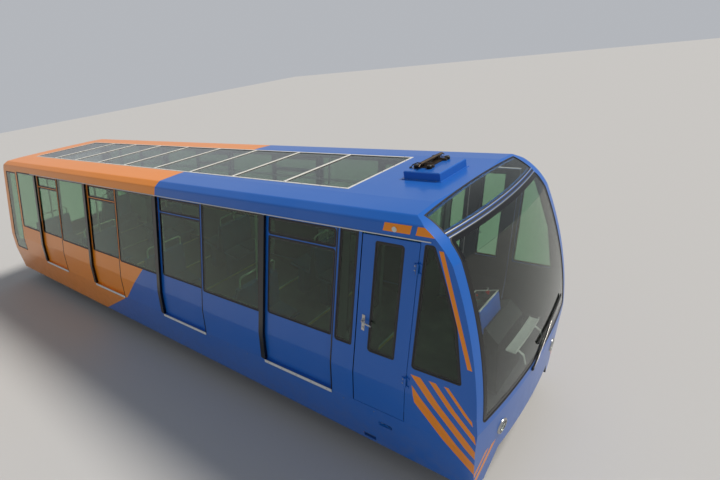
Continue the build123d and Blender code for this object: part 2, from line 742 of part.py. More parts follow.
def wheelset(x):
    """One axle with its wheels, as a turned profile about the axle line."""
    with BuildPart() as turned:
        with BuildSketch(Plane.XY.offset(AXLE_Z)):
            for side in (-1, 1):
                with BuildLine():
                    Polyline(
                        (x, 0),
                        (x + AXLE_R, 0),
                        (x + AXLE_R, side * (FLANGE_BACK - HUB_OUT)),
                        (x + HUB_R, side * (FLANGE_BACK - HUB_OUT)),
                        (x + HUB_R, side * (FLANGE_BACK + WEB_IN)),
                        (x + RIM_R, side * (FLANGE_BACK + WEB_IN)),
                        (x + RIM_R, side * FLANGE_BACK),
                        (x + FLANGE_R, side * FLANGE_BACK),
                        (x + FLANGE_R, side * (FLANGE_BACK + FLANGE_T / 2)),
                        (x + WHEEL_R, side * (FLANGE_BACK + FLANGE_T)),
                        (x + WHEEL_R, side * WHEEL_FACE),
                        (x + RIM_R, side * WHEEL_FACE),
                        (x + RIM_R, side * (FLANGE_BACK + WEB_IN + WEB_T)),
                        (x + HUB_R, side * (FLANGE_BACK + WEB_IN + WEB_T)),
                        (x + HUB_R, side * WHEEL_FACE),
                        (x, side * WHEEL_FACE),
                        close=True,
                    )
                make_face()
        revolve(axis=Axis((x, 0, AXLE_Z), (0, 1, 0)), revolution_arc=360)
    return turned.part


AXLE_X = [centre + half * WHEELBASE / 2 for centre in BOGIE_X for half in (-1, 1)]
for number, x in enumerate(AXLE_X):
    save(wheelset(x), f"wheelset_{number + 1}")

# Bogies: inside side frames with axle boxes, a transom and the centre pivot
for centre, label in zip(BOGIE_X, ("bogie_downhill", "bogie_uphill")):
    half = WHEELBASE / 2
    with BuildPart() as bogie:
        for side in (-1, 1):
            with BuildSketch(Plane.XZ.offset(-(side * FRAME_Y + FRAME_T / 2))):
                with BuildLine():
                    Polyline(
                        (centre - half - BOX_R, AXLE_Z - BOX_FOOT),
                        (centre - half + BOX_R, AXLE_Z - BOX_FOOT),
                        (centre - BELLY_HALF, AXLE_Z - BELLY_DOWN),
                        (centre + BELLY_HALF, AXLE_Z - BELLY_DOWN),
                        (centre + half - BOX_R, AXLE_Z - BOX_FOOT),
                        (centre + half + BOX_R, AXLE_Z - BOX_FOOT),
                        (centre + half + BOX_R, AXLE_Z + FRAME_UP),
                        (centre + SHOULDER_HALF, AXLE_Z + FRAME_UP),
                        (centre + BELLY_HALF, AXLE_Z + WAIST_UP),
                        (centre - BELLY_HALF, AXLE_Z + WAIST_UP),
                        (centre - SHOULDER_HALF, AXLE_Z + FRAME_UP),
                        (centre - half - BOX_R, AXLE_Z + FRAME_UP),
                        close=True,
                    )
                make_face()
                with Locations((centre - half, AXLE_Z), (centre + half, AXLE_Z)):
                    Circle(BOX_R)
            extrude(amount=FRAME_T)
        with Locations((centre, 0, AXLE_Z - BELLY_DOWN)):
            Box(TRANSOM_L, 2 * FRAME_Y, BOGIE_TOP - AXLE_Z + BELLY_DOWN, align=STANDING)
        with Locations((centre, 0, BOGIE_TOP)):
            Cylinder(PIVOT_R, PIVOT_H - PIVOT_CLEAR, align=STANDING)
        with Locations((centre - half, 0, AXLE_Z), (centre + half, 0, AXLE_Z)):
            Cylinder(AXLE_R + FIT, 4 * FRAME_Y, rotation=(90, 0, 0), mode=Mode.SUBTRACT)
    save(bogie.part, label)


def level_plane(x, z):
    """A plane across Y whose X is level and whose Y is plumb on the slope."""
    slope = radians(SLOPE_DEG)
    return Plane(origin=(x, 0, z), x_dir=(cos(slope), 0, -sin(slope)), z_dir=(0, -1, 0))


TREAD_LEVEL = TREAD_RUN / cos(radians(SLOPE_DEG))
BENCH_FEET = [STEP_X0 - (2 * number + 2) * TREAD_L for number in range(DOOR_COUNT)]


def bench_profile(facing):
    """Side view of one seat: pan, raked back and pedestal; facing is 1 uphill, -1 downhill."""
    back = TREAD_LEVEL / 2 + facing * BACK_U
    near, far = [back + facing * SEAT_D * share for share in SEAT_FOOT]
    pan = back + facing * SEAT_D
    return (
        (near, 0),
        (far, 0),
        (far, SEAT_H - SEAT_T),
        (pan, SEAT_H - SEAT_T),
        (pan, SEAT_H),
        (back + facing * SEAT_T, SEAT_H - SEAT_T / 2),
        (back - facing * (BACK_U - SEAT_T - BACK_GAP), BACK_H),
        (back - facing * (BACK_U - BACK_GAP), BACK_H),
        (back, SEAT_H - SEAT_T),
        (near, SEAT_H - SEAT_T),
    )


# Benches back to back in each fixed bay, one pair each side of the aisle
with BuildPart() as benches:
    for foot in BENCH_FEET:
        for side in (-1, 1):
            middle = side * (SEAT_Y[0] + SEAT_Y[1]) / 2
            for facing in (-1, 1):
                with BuildSketch(level_plane(foot, FLOOR_TOP).offset(-middle)):
                    with BuildLine():
                        Polyline(*bench_profile(facing), close=True)
                    make_face()
                extrude(amount=(SEAT_Y[1] - SEAT_Y[0]) / 2, both=True)
save(benches.part, "benches")

# Handrails: a ceiling rail each side on plumb posts that rise from the seat backs
PLUMB = (sin(radians(SLOPE_DEG)), 0, cos(radians(SLOPE_DEG)))
with BuildPart() as handrails:
    for side in (-1, 1):
        with BuildSketch(Plane.YZ.offset(RAIL_X[0])):
            with Locations((side * RAIL_Y, RAIL_Z)):
                Circle(RAIL_R)
        extrude(amount=RAIL_X[1] - RAIL_X[0])
        for foot in BENCH_FEET:
            seat_back = level_plane(foot, FLOOR_TOP).from_local_coords((TREAD_LEVEL / 2, BACK_H, 0))
            with BuildSketch(Plane(seat_back, x_dir=(0, 1, 0), z_dir=PLUMB)):
                with Locations((side * RAIL_Y, 0)):
                    Circle(RAIL_R)
            extrude(amount=Z_ROOF)
    add(body_form(WALL), mode=Mode.INTERSECT)
save(handrails.part, "handrails")


def screen_panels(x_low, x_high, z_low, z_high, y_in, y_out):
    """The same plumb panel on both sides of the way through to the cab."""
    with BuildPart() as panels:
        for side in (-1, 1):
            low, high = sorted((side * y_in, side * y_out))
            add(plumb_prism(x_low, x_high, z_low, z_high, y_low=low, y_high=high))
    return panels.part


# Cab screen: two framed halves beside the way through, standing on the floor
SCREEN_UP_X = SCREEN_X + SCREEN_T
SCREEN_FOOT_Y = Y_LEDGE - FLOOR_IN - SCREEN_FOOT_IN
SCREEN_GLASS = (SCREEN_GAP + SCREEN_POST, Y_CORNICE - WALL - SCREEN_STILE)
with BuildPart() as cab_screen:
    add(screen_panels(SCREEN_X, SCREEN_UP_X, Z_LEDGE, Z_CORNICE, SCREEN_GAP, Y_OUT))
    add(section_prism(WALL), mode=Mode.INTERSECT)
    add(screen_panels(SCREEN_X, SCREEN_UP_X, Z_LEDGE - TREAD_DROP, Z_LEDGE, SCREEN_GAP, SCREEN_FOOT_Y))
    add(
        screen_panels(SCREEN_X - WALL, SCREEN_UP_X + WALL, Z_SILL, Z_CORNICE - SCREEN_HEAD, *SCREEN_GLASS),
        mode=Mode.SUBTRACT,
    )
    add(BELOW_FLOOR, mode=Mode.SUBTRACT)
save(cab_screen.part, "cab_screen")

# Driver's desk
with BuildPart() as desk:
    add(slab(DESK_SIDE, *DESK_Y))
    add(BELOW_FLOOR, mode=Mode.SUBTRACT)
save(desk.part, "cab_desk")

# Roof box with the folded contact bow on it
with BuildPart() as pod:
    with Locations(((POD_X[0] + POD_X[1]) / 2, (POD_Y[0] + POD_Y[1]) / 2, Z_ROOF)):
        Box(POD_X[1] - POD_X[0], POD_Y[1] - POD_Y[0], POD_H, align=STANDING)
    chamfer(pod.faces().sort_by(Axis.Z)[-1].edges(), length=POD_EDGE)
save(pod.part, "roof_box")

POD_TOP = Z_ROOF + POD_H
COLLECTOR_MID = (COLLECTOR_Y[0] + COLLECTOR_Y[1]) / 2
COLLECTOR_W = COLLECTOR_Y[1] - COLLECTOR_Y[0]
with BuildPart() as bow:
    with Locations((COLLECTOR_X, COLLECTOR_MID, POD_TOP)):
        Box(*COLLECTOR_FOOT, align=STANDING)
    for side in (-1, 1):
        with Locations((COLLECTOR_X, COLLECTOR_MID + side * ARM_Y, POD_TOP)):
            Cylinder(*COLLECTOR_POST, align=STANDING)
            Box(COLLECTOR_ARM[0], COLLECTOR_ARM[1], COLLECTOR_ARM[1], align=STANDING)
    with Locations((COLLECTOR_X, COLLECTOR_MID, POD_TOP + COLLECTOR_BAR_UP)):
        Cylinder(COLLECTOR_BAR_R, COLLECTOR_W, rotation=(90, 0, 0))
    with Locations((COLLECTOR_X - SHOE_UP, COLLECTOR_MID, POD_TOP + SHOE_UP)):
        Box(SHOE[0], COLLECTOR_W, SHOE[1])
save(bow.part, "contact_bow")

# Parked wipers, following the bowed glass
WIPER_SKIN = (body_form(-WIPER_FAR), body_form(-WIPER_NEAR))
BOSS_SEAT = body_form(-RUB_GAP)


def wiper(points, x_low, x_high):
    """Arm and blade of one wiper, as a thin layer just off the glass, with its spindle boss."""
    pivot, blade_low, blade_high = points
    grip = ((blade_low[0] + blade_high[0]) / 2, (blade_low[1] + blade_high[1]) / 2)
    with BuildPart() as view:
        with BuildSketch(Plane.YZ.offset(x_low)):
            with BuildLine():
                Line(pivot, grip)
            trace(line_width=WIPER_W)
            with BuildLine():
                Line(blade_low, blade_high)
            trace(line_width=WIPER_W)
        extrude(amount=x_high - x_low)
    with BuildPart() as boss:
        with BuildSketch(Plane.YZ.offset(x_low)):
            with Locations(pivot):
                Circle(WIPER_BOSS_R)
        extrude(amount=x_high - x_low)
    with BuildPart() as piece:
        add(skin(view.part, *WIPER_SKIN))
        add(skin(boss.part, WIPER_SKIN[0], BOSS_SEAT))
    return piece.part


with BuildPart() as wipers:
    add(wiper(WIPER_UP, *UP_CUT_X))
    add(wiper(WIPER_DOWN, *DOWN_CUT_X))
save(wipers.part, "wipers")

# Rail brakes: a yoke under each pair of outriggers with jaws each side of the rail head
RAIL_MID = WHEEL_FACE - RAIL_HALF
YOKE_TOP = CHASSIS_TOP - CROSS_H
JAW_TOP = YOKE_TOP - BRAKE_YOKE[2]
with BuildPart() as brakes:
    for x in BRAKE_X:
        for side in (-1, 1):
            with Locations((x, side * RAIL_MID, YOKE_TOP)):
                Box(*BRAKE_YOKE, align=HANGING)
            for jaw in (-1, 1):
                with Locations((x, side * RAIL_MID + jaw * JAW_OUT, JAW_TOP)):
                    Box(*BRAKE_JAW, JAW_TOP - JAW_LOW, align=HANGING)
save(brakes.part, "rail_brakes")

# Rope hitches: a plate on each end beam with a lug on the centre line, bored upright
HITCH_MID = (CHASSIS_LOW + CHASSIS_TOP) / 2
for sign, end_x, label in ((1, BEAM_X[1], "rope_hitch_uphill"), (-1, BEAM_X[0], "rope_hitch_downhill")):
    hole_x = end_x + sign * HITCH_OUT
    with BuildPart() as hitch:
        with Locations((end_x + sign * HITCH_PLATE / 2, 0, HITCH_MID)):
            Box(HITCH_PLATE, 4 * HITCH_R, 2 * HITCH_R)
        with BuildSketch(Plane.XY.offset(HITCH_MID - HITCH_T / 2)):
            with Locations((hole_x, 0)):
                Circle(HITCH_R)
            with Locations(((end_x + hole_x) / 2, 0)):
                Rectangle(HITCH_OUT, 2 * HITCH_R)
            with Locations((hole_x, 0)):
                Circle(HITCH_PIN_R, mode=Mode.SUBTRACT)
        extrude(amount=HITCH_T)
    save(hitch.part, label)
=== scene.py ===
# %% [markdown]
# # A funicular car and its finishes
#
# The CAD model gives every panel, pane, door and wheel at its real size and place. This script dresses it.
# It gives each surface its real finish, adds seals, trims, lamp rims, wiper joints, the driver's desk and
# the small hardware, and sets up a plain studio with the camera at the photograph's angle. The car stands
# in its own frame: X runs uphill along the track, Y across it and Z square to the rails, all in metres.

# %% Load the CAD model as the fixed frame
import math

import bmesh
import bpy
from mathutils import Matrix, Vector
from mathutils.bvhtree import BVHTree


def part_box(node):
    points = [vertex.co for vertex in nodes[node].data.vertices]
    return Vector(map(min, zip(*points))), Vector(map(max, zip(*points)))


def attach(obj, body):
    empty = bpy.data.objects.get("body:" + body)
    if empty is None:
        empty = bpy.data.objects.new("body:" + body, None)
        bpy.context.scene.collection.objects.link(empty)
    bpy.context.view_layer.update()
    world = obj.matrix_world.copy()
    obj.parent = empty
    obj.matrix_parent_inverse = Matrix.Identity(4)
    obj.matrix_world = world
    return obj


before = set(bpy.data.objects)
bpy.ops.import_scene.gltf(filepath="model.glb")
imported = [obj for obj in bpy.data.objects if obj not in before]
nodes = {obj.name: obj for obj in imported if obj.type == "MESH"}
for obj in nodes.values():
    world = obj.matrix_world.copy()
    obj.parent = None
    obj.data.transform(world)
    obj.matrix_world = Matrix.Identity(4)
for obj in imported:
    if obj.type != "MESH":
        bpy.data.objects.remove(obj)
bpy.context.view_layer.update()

# %% [markdown]
# ## Sizes that the pieces share
#
# The car stands on a slope of 13 degrees, so its pillars and door edges lean uphill in this frame. One
# function gives the X of such a plumb edge at any height, and one gives the half width of the side wall.
# The heights are those of the body's seams: the ledge under the doors, the sill and the cornice.

# %% Heights, widths and the lean of the pillars
SLOPE = math.radians(13)
LEAN = math.tan(SLOPE)
Z_SKIRT = 0.310
Z_LEDGE = 0.886
Z_CREASE = 1.280
Z_SILL = 1.590
Z_CORNICE = 2.860
Z_ROOF = 3.075
SECTION = ((Z_SKIRT, 1.070), (Z_LEDGE, 1.190), (Z_CREASE, 1.225), (Z_CORNICE, 1.170), (2.990, 1.155))
DOOR_UP_X = 4.460
DOOR_PITCH = 2.420
DOOR_W = 1.120
DOOR_COUNT = 4
CAB_DOOR_X = (4.780, 5.440)
SIDES = {"right": -1, "left": 1}


def lean(x, z):
    """The X of a plumb edge at height z, when it passes x at the window sill."""
    return x + (z - Z_SILL) * LEAN


def wall_y(z):
    """Half width of the outer wall at a height up to the shoulder."""
    for (z_low, y_low), (z_high, y_high) in zip(SECTION, SECTION[1:]):
        if z <= z_high:
            return y_low + (y_high - y_low) * (z - z_low) / (z_high - z_low)
    return SECTION[-1][1]


door_rows = []
for number in range(DOOR_COUNT):
    up = DOOR_UP_X - number * DOOR_PITCH
    door_rows.append((number + 1, up - DOOR_W, up))
print("door openings at sill height:", door_rows)

# %% [markdown]
# ## Small helpers for materials
#
# A colour is written as the hex value that one would read off a paint card, and one function turns it into
# the linear colour that Cycles computes with. One more function adds a node with its settings and links, so
# a material reads from top to bottom like a recipe. Two patterns come back in nearly every finish: soft
# patches, where a surface is a little paler or duller, and a fine relief that the light catches.

# %% Colour, objects and nodes
MATH = "ShaderNodeMath"
RANGE = "ShaderNodeMapRange"
MIX = "ShaderNodeMix"
NOISE = "ShaderNodeTexNoise"
SPLIT = "ShaderNodeSeparateXYZ"
COORDS = "ShaderNodeTexCoord"
WHITE = "#FFFFFF"


def srgb(code):
    """A paint colour such as #1A2B3C as the linear colour that a shader takes."""
    parts = [int(code[i : i + 2], 16) / 255 for i in (1, 3, 5)]
    linear = [c / 12.92 if c <= 0.04045 else ((c + 0.055) / 1.055) ** 2.4 for c in parts]
    return (*linear, 1.0)


def place(name, data):
    """Puts a mesh, a lamp or a camera into the scene, at the origin."""
    thing = bpy.data.objects.new(name, data)
    bpy.context.scene.collection.objects.link(thing)
    return thing


def add_node(tree, kind, inputs=(), out=0, **settings):
    """Adds a node with its settings, fills or links its inputs by name or order, returns one output."""
    node = tree.nodes.new(kind)
    for name, value in settings.items():
        setattr(node, name, value)
    for key, value in inputs.items() if isinstance(inputs, dict) else enumerate(inputs):
        if isinstance(value, bpy.types.NodeSocket):
            tree.links.new(value, node.inputs[key])
        else:
            node.inputs[key].default_value = value
    return node.outputs[out] if node.outputs else None


print("helpers ready: blue card reads", [round(c, 3) for c in srgb("#0A60BC")[:3]])


# %% Materials, patches and relief
def new_material(name, **values):
    """A Principled material with plain values on the shader's own sockets."""
    material = bpy.data.materials.new(name)
    material.use_nodes = True
    tree = material.node_tree
    shader = tree.nodes["Principled BSDF"]
    for key, value in values.items():
        shader.inputs[key.replace("_", " ")].default_value = value
    return material, tree, shader


def wire(tree, shader, **outputs):
    """Links outputs to the shader's sockets of those names."""
    for name, output in outputs.items():
        tree.links.new(output, shader.inputs[name.replace("_", " ")])


def patches(tree, size_mm, low, high, to_low=0.0, to_high=1.0, detail=3.0, roughness=0.5):
    """Soft patches about that many millimetres across, moved from one range of values to another."""
    coords = add_node(tree, COORDS, out="Object")
    cloud = add_node(tree, NOISE, {"Vector": coords, "Scale": 1000 / size_mm, "Detail": detail,
                                   "Roughness": roughness})
    return add_node(tree, RANGE, (cloud, low, high, to_low, to_high))


def relief(tree, shader, size_mm, depth_mm, strength=0.6):
    """Fine bumps of that size and depth, which the light catches."""
    coords = add_node(tree, COORDS, out="Object")
    grain = add_node(tree, NOISE, {"Vector": coords, "Scale": 1000 / size_mm, "Detail": 2.0})
    settings = {"Height": grain, "Distance": depth_mm / 1000, "Strength": strength}
    wire(tree, shader, Normal=add_node(tree, "ShaderNodeBump", settings))


print("finish helpers ready")

# %% [markdown]
# ## Coach paint in two colours
#
# The body is sprayed in two-pack coach enamel, orange downhill and blue uphill, under a clear coat. It could
# be two materials on cut meshes, but the CAD panels stay whole, so one material works out where the boundary
# runs: plumb over the roof and down one pillar, then in a sweep downhill over the lower panels. Each run adds
# to the X of the boundary between two heights. Slanted orange bars dress the blue end. Under the coat lies
# the faint orange peel that spraying leaves, a little road dust gathers at the skirt, and the faces that
# look into the car carry a grey lining, painted darker than it is as painted shade for the inside of the
# car. The cut edges of the doorways are black.

# %% The numbers of the livery
ORANGE = srgb("#EC8A06")
BLUE = srgb("#0A60BC")
# The lining's grey is darker than the real lining: it is painted shade for the inside of the car
LINING_GREY_AND_SHADE = srgb("#3A3D40")
REVEAL_BLACK = srgb("#0B0C10")
DUST = srgb("#8C8475")
LIVERY_START = -1.740
LIVERY_RUNS = (
    (Z_SKIRT, Z_LEDGE, 1.290),
    (Z_LEDGE, Z_SILL, 0.870),
    (Z_SILL, Z_ROOF, 0.343),
    (2.295, 2.305, 0.495),
)
# Bars on the cab end's sides: where each starts along X + BAR_SLANT * Z, and its width
BARS = ((6.420, 0.150), (6.660, 0.110), (6.860, 0.075), (7.020, 0.045))
BAR_SLANT = 0.8
BAR_Z = (0.43, 1.50)
BAR_X = (5.46, 6.07)
# A band up the corner post, and three blocks over the cab door, each as start, width, slant and limits
POST_BAND = (6.358, 0.044, 0.162, (1.75, 2.80), (5.80, 6.20))
DOOR_BLOCKS = tuple((4.300 + 0.36 * i, 0.30 - 0.07 * i, -0.35, (2.905, 2.985), (3.0, 7.0)) for i in range(3))
# Bars on the nose below the windscreen, along |Y| + BAR_SLANT * Z
NOSE_BARS = ((1.390, 0.075), (1.520, 0.050))
NOSE_Z = (0.36, 0.74)
# The lining, darkened as painted shade, covers what looks down at these heights, and what looks back to the
# middle at these distances
CEILING_Z = (2.0, 4.0)
NOSE_X = (5.6, 7.0)
# The black reveals are the edges that look along the car, as far as the last doorway
REVEAL_X = (0.0, 5.3)
# How far a face has to look out of the car, or into it, on a scale from -1 to 1
FACING_OUT = (0.6, 1.1)
FACING_IN = (-1.1, -0.3)
# Patches of fading and of dust with their size, and the height where the dust ends
FADE_MM = 900
FADE_MOST = 0.015
DUST_MM = 120
DUST_MOST = 0.22
DUST_TOP = 1.05
CLEAN_ROUGHNESS = 0.30
DUSTY_ROUGHNESS = 0.62
PEEL_MM = 9
PEEL_DEPTH_MM = 0.05
print(len(BARS), "bars on each side of the cab end")


# %% The painted livery
def where_any(tree, tests):
    """1 where all the limits of any one test hold. A test is a row of (value, (low, high))."""
    found = 0.0
    for test in tests:
        hit = 1.0
        for value, (low, high) in test:
            inside = add_node(tree, MATH, (value, (low + high) / 2, (high - low) / 2), operation="COMPARE")
            hit = add_node(tree, MATH, (hit, inside), operation="MULTIPLY")
        found = add_node(tree, MATH, (found, hit), operation="MAXIMUM")
    return found


def painted_livery():
    """Two-pack enamel under a clear coat: even, glossy, a little dusty low down."""
    material, tree, shader = new_material("coach_enamel_two_colours", Specular_IOR_Level=0.25,
                                          Coat_Weight=0.25, Coat_Roughness=0.06)
    x, y, z = add_node(tree, SPLIT, (add_node(tree, COORDS, out="Object"),)).node.outputs
    way = add_node(tree, "ShaderNodeNewGeometry", out="Normal")
    way_x, way_y, way_z = add_node(tree, SPLIT, (way,)).node.outputs
    half_x, half_y, edge = (add_node(tree, MATH, (v,), operation="ABSOLUTE") for v in (x, y, way_x))
    end, side = (add_node(tree, MATH, (v,), operation="SIGN") for v in (x, y))
    pairs = ((way_x, end), (way_y, side))
    endways_out, sideways_out = (add_node(tree, MATH, pair, operation="MULTIPLY") for pair in pairs)

    boundary = LIVERY_START
    for z_low, z_high, gain in LIVERY_RUNS:
        run = add_node(tree, RANGE, (z, z_low, z_high, 0.0, gain))
        boundary = add_node(tree, MATH, (run, boundary), operation="ADD")
    downhill = add_node(tree, MATH, (x, boundary), operation="LESS_THAN")

    bars = []
    rows = [(start, width, BAR_SLANT, BAR_Z, BAR_X) for start, width in BARS]
    for start, width, slant, z_limits, x_limits in (*rows, POST_BAND, *DOOR_BLOCKS):
        slanted = add_node(tree, MATH, (z, slant, x), operation="MULTIPLY_ADD")
        limits = (start, start + width)
        bars.append(((slanted, limits), (z, z_limits), (x, x_limits), (sideways_out, FACING_OUT)))
    across = add_node(tree, MATH, (z, BAR_SLANT, half_y), operation="MULTIPLY_ADD")
    for start, width in NOSE_BARS:
        bars.append(((across, (start, start + width)), (z, NOSE_Z), (way_x, FACING_OUT)))
    orange = add_node(tree, MATH, (downhill, where_any(tree, bars)), operation="MAXIMUM")
    faded = patches(tree, FADE_MM, 0.3, 0.7, to_high=FADE_MOST)
    low_down = add_node(tree, RANGE, (z, Z_SKIRT, DUST_TOP, DUST_MOST, 0.0))
    dusty = patches(tree, DUST_MM, 0.35, 0.75, detail=5.0, roughness=0.6)
    dust = add_node(tree, MATH, (low_down, dusty), operation="MULTIPLY")
    # Faces that look into the car get the grey lining, darkened as painted shade for the inside of the car
    lining_and_shade = where_any(tree, (((sideways_out, FACING_IN),), ((way_z, FACING_IN), (z, CEILING_Z)),
                              ((endways_out, FACING_IN), (half_x, NOSE_X))))
    reveal = where_any(tree, (((edge, FACING_OUT), (half_x, REVEAL_X), (z, (Z_LEDGE, Z_CORNICE))),))
    layers = ((orange, ORANGE), (faded, srgb(WHITE)), (dust, DUST), (lining_and_shade, LINING_GREY_AND_SHADE),
              (reveal, REVEAL_BLACK))
    colour = BLUE
    for share, over in layers:
        colour = add_node(tree, MIX, {0: share, 6: colour, 7: over}, out=2, data_type="RGBA")
    gloss = add_node(tree, RANGE, (dust, 0.0, 0.4, CLEAN_ROUGHNESS, DUSTY_ROUGHNESS))
    wire(tree, shader, Base_Color=colour, Roughness=gloss)
    relief(tree, shader, PEEL_MM, PEEL_DEPTH_MM, 0.35)
    return material


LIVERY = painted_livery()
print("livery:", len(LIVERY.node_tree.nodes), "shader nodes")

# %% [markdown]
# ## Tinted safety glass
#
# Laminated panes with a green-grey tint keep the sun out of a glazed car. Light crosses two faces of each
# pane, and each face takes its share of the tint, so the colour here is paler than the pane looks. The roof
# panes are darker, and the windscreens clearer. Rain streaks and dust show as a slight change of gloss.
# Window glass has an index of 1.5; a little less here keeps the pale studio from veiling the dark inside.

# %% Glass for sides, roof and ends
PANE_IOR = 1.38
RAIN_MARK_MM = 60
CLEAN_GLASS_ROUGHNESS = 0.015


def tinted_glass(name, tint, streaks):
    """Float glass: smooth, with old rain marks that dull the gloss a little."""
    material, tree, shader = new_material(name, Transmission_Weight=1.0, IOR=PANE_IOR)
    marks = patches(tree, RAIN_MARK_MM, 0.45, 0.75, to_high=streaks, detail=4.0, roughness=0.65)
    marked = {0: marks, 6: srgb(tint), 7: srgb("#B9BDB6")}
    wire(tree, shader, Roughness=add_node(tree, MATH, (marks, CLEAN_GLASS_ROUGHNESS), operation="ADD"),
         Base_Color=add_node(tree, MIX, marked, out=2, data_type="RGBA"))
    return material


SIDE_GLASS = tinted_glass("tinted_side_glass", "#86B28E", 0.04)
ROOF_GLASS = tinted_glass("tinted_roof_glass", "#A9B3AE", 0.10)
SCREEN_GLASS = tinted_glass("clear_windscreen_glass", "#DDE8E2", 0.02)
print("three kinds of glass")

# %% [markdown]
# ## Rubber, plastics, enamel and iron
#
# Most of the small parts have a plain colour with a fine grain. The grain comes from how each was made: the
# mould, the spray gun, the extruder or the sand of the casting. It could be modelled, but at this distance a
# bump does it. So one function makes them all, from two close colours, the grain's size and its depth in
# millimetres.

# %% Plain finishes with a grain
PATCHES_PER_GRAIN = 25


def grained(name, colour, second, size_mm, depth_mm, **values):
    """A surface with fine relief and a slow change between two close colours."""
    material, tree, shader = new_material(name, **values)
    mixed = {0: patches(tree, size_mm * PATCHES_PER_GRAIN, 0.3, 0.7), 6: srgb(colour), 7: srgb(second)}
    wire(tree, shader, Base_Color=add_node(tree, MIX, mixed, out=2, data_type="RGBA"))
    relief(tree, shader, size_mm, depth_mm)
    return material


print("grain and colour patches", PATCHES_PER_GRAIN, "to 1")

# %% Rubber, plastics and enamel
# Extruded EPDM rubber: dull black with a grey bloom
RUBBER = grained("extruded_rubber", "#131415", "#1D1E1F", 1.5, 0.05, Roughness=0.62)
# Glass-fibre seat shells: sprayed gel coat, glossy with a fine pebble
SEAT_SHELL = grained("gel_coat_seat_shell", "#2C5D9E", "#27548F", 4, 0.12, Roughness=0.28)
# Powder coat of the partition behind the driver, dark so that it doesn't mirror in the windscreen, and darker
# still as painted shade for the inside of the cab
SCREEN_FRAME = grained("powder_coat_grey_and_painted_shade", "#5C6063", "#54585B", 1.2, 0.05, Roughness=0.45)
# Cast acrylic of the post covers, which also stands for the enamel printed on glass: black and glossy
BLACK_ACRYLIC = grained("gloss_black_acrylic", "#07080B", "#0A0B0E", 6.0, 0.02, Roughness=0.12)
# Pressed laminate of the door pockets: pale, satin, finely pebbled
LAMINATE = grained("pebbled_pale_laminate", "#C4C6C2", "#B8BAB6", 2.0, 0.08, Roughness=0.5)
# Moulded ABS with a spark-eroded texture, black and blue: it breaks the shine of the desk's mouldings
DARK_ABS = grained("textured_black_abs", "#17181A", "#202224", 1.2, 0.08, Roughness=0.48)
BLUE_ABS = grained("textured_blue_abs", "#0F62D2", "#0D58C0", 1.2, 0.08, Roughness=0.36)
# Pale mouldings of the desk, and opal lamp covers: nearly white, satin
PALE_EDGE = grained("pale_laminate_edge", "#D7DBD6", "#C8CCC7", 2.0, 0.04, Roughness=0.38)
# Stoved enamel on the handrail tubes: white and glossy under a thin coat
WHITE_ENAMEL = grained("white_tube_enamel", "#E6E6E0", "#DCDCD6", 3.0, 0.02, Roughness=0.22, Coat_Weight=0.4)
print("plastics and enamel done")

# %% Chassis paint, cast iron and bronze
# Thick brushed chassis paint under a film of brake dust: nearly black, satin, with brown patches
CHASSIS_PAINT = grained("satin_chassis_paint", "#1B1D20", "#2C2A27", 5.0, 0.15, Roughness=0.5)
# Sand-cast iron: dark, rough, with a brown skin of rust
CAST_IRON = grained("sand_cast_iron", "#3B3835", "#4A3D33", 3.0, 0.30, Roughness=0.65, Metallic=0.6)
# Weathered bronze of the current collector: a dull brown metal
COLLECTOR_METAL = grained("weathered_collector_bronze", "#6B5B49", "#4F4840", 3.0, 0.1, Roughness=0.45,
                          Metallic=0.85)
print("grained finishes done")

# %% [markdown]
# ## Metals with a direction, wheels and floor
#
# Anodised or brushed metal has draw lines along the part, so its noise is stretched along X. Wheels are
# turned steel: the rail polishes the tread, and the disc keeps a brown oxide skin. The floor is a rubber
# sheet with round studs; a grid of cells with no randomness gives them without any geometry.

# %% Drawn metals
DRAW_LINE_MM = 1.2
DRAW_STRETCH = (0.02, 1.0, 1.0)
DRAW_DEPTH_MM = 0.02


def drawn_metal(name, colour, roughness):
    """Anodised or brushed metal: draw lines about a millimetre apart along X, as fine as the render shows."""
    material, tree, shader = new_material(name, Metallic=1.0, Base_Color=srgb(colour))
    coords = add_node(tree, COORDS, out="Object")
    stretched = add_node(tree, "ShaderNodeMapping", {"Vector": coords, "Scale": DRAW_STRETCH})
    lines = add_node(tree, NOISE, {"Vector": stretched, "Scale": 1000 / DRAW_LINE_MM, "Detail": 2.0})
    grooves = {"Height": lines, "Distance": DRAW_DEPTH_MM / 1000, "Strength": 0.5}
    bump = add_node(tree, "ShaderNodeBump", grooves)
    wire(tree, shader, Normal=bump,
         Roughness=add_node(tree, RANGE, (lines, 0.3, 0.7, roughness - 0.08, roughness + 0.10)))
    return material


ALUMINIUM = drawn_metal("anodised_aluminium", "#C3C6C8", 0.34)
STEEL = drawn_metal("brushed_stainless_steel", "#B4B4B2", 0.26)
CHROME = drawn_metal("polished_reflector", "#E3E5E6", 0.10)
print("three drawn metals")


# %% Wheel steel
def wheel_steel():
    """Turned steel: bright where the rail polishes it, brown oxide on the disc."""
    material, tree, shader = new_material("turned_wheel_steel", Metallic=0.9)
    way = add_node(tree, SPLIT, (add_node(tree, COORDS, out="Normal"),), out="Y")
    flat = add_node(tree, RANGE, (add_node(tree, MATH, (way,), operation="ABSOLUTE"), 0.2, 0.5))
    rusty = {0: patches(tree, 35, 0.35, 0.65, detail=4.0), 6: srgb("#4C3A2E"), 7: srgb("#33302E")}
    oxide = add_node(tree, MIX, rusty, out=2, data_type="RGBA")
    turned = {0: flat, 6: srgb("#8F8C88"), 7: oxide}
    wire(tree, shader, Base_Color=add_node(tree, MIX, turned, out=2, data_type="RGBA"),
         Roughness=add_node(tree, RANGE, (flat, 0.0, 1.0, 0.24, 0.62)))
    relief(tree, shader, 2.5, 0.06, 0.5)
    return material


WHEEL_STEEL = wheel_steel()
print("wheel steel:", len(WHEEL_STEEL.node_tree.nodes), "nodes")

# %% Studded floor
STUD_PITCH_MM = 25
STUD_HEIGHT_MM = 0.8


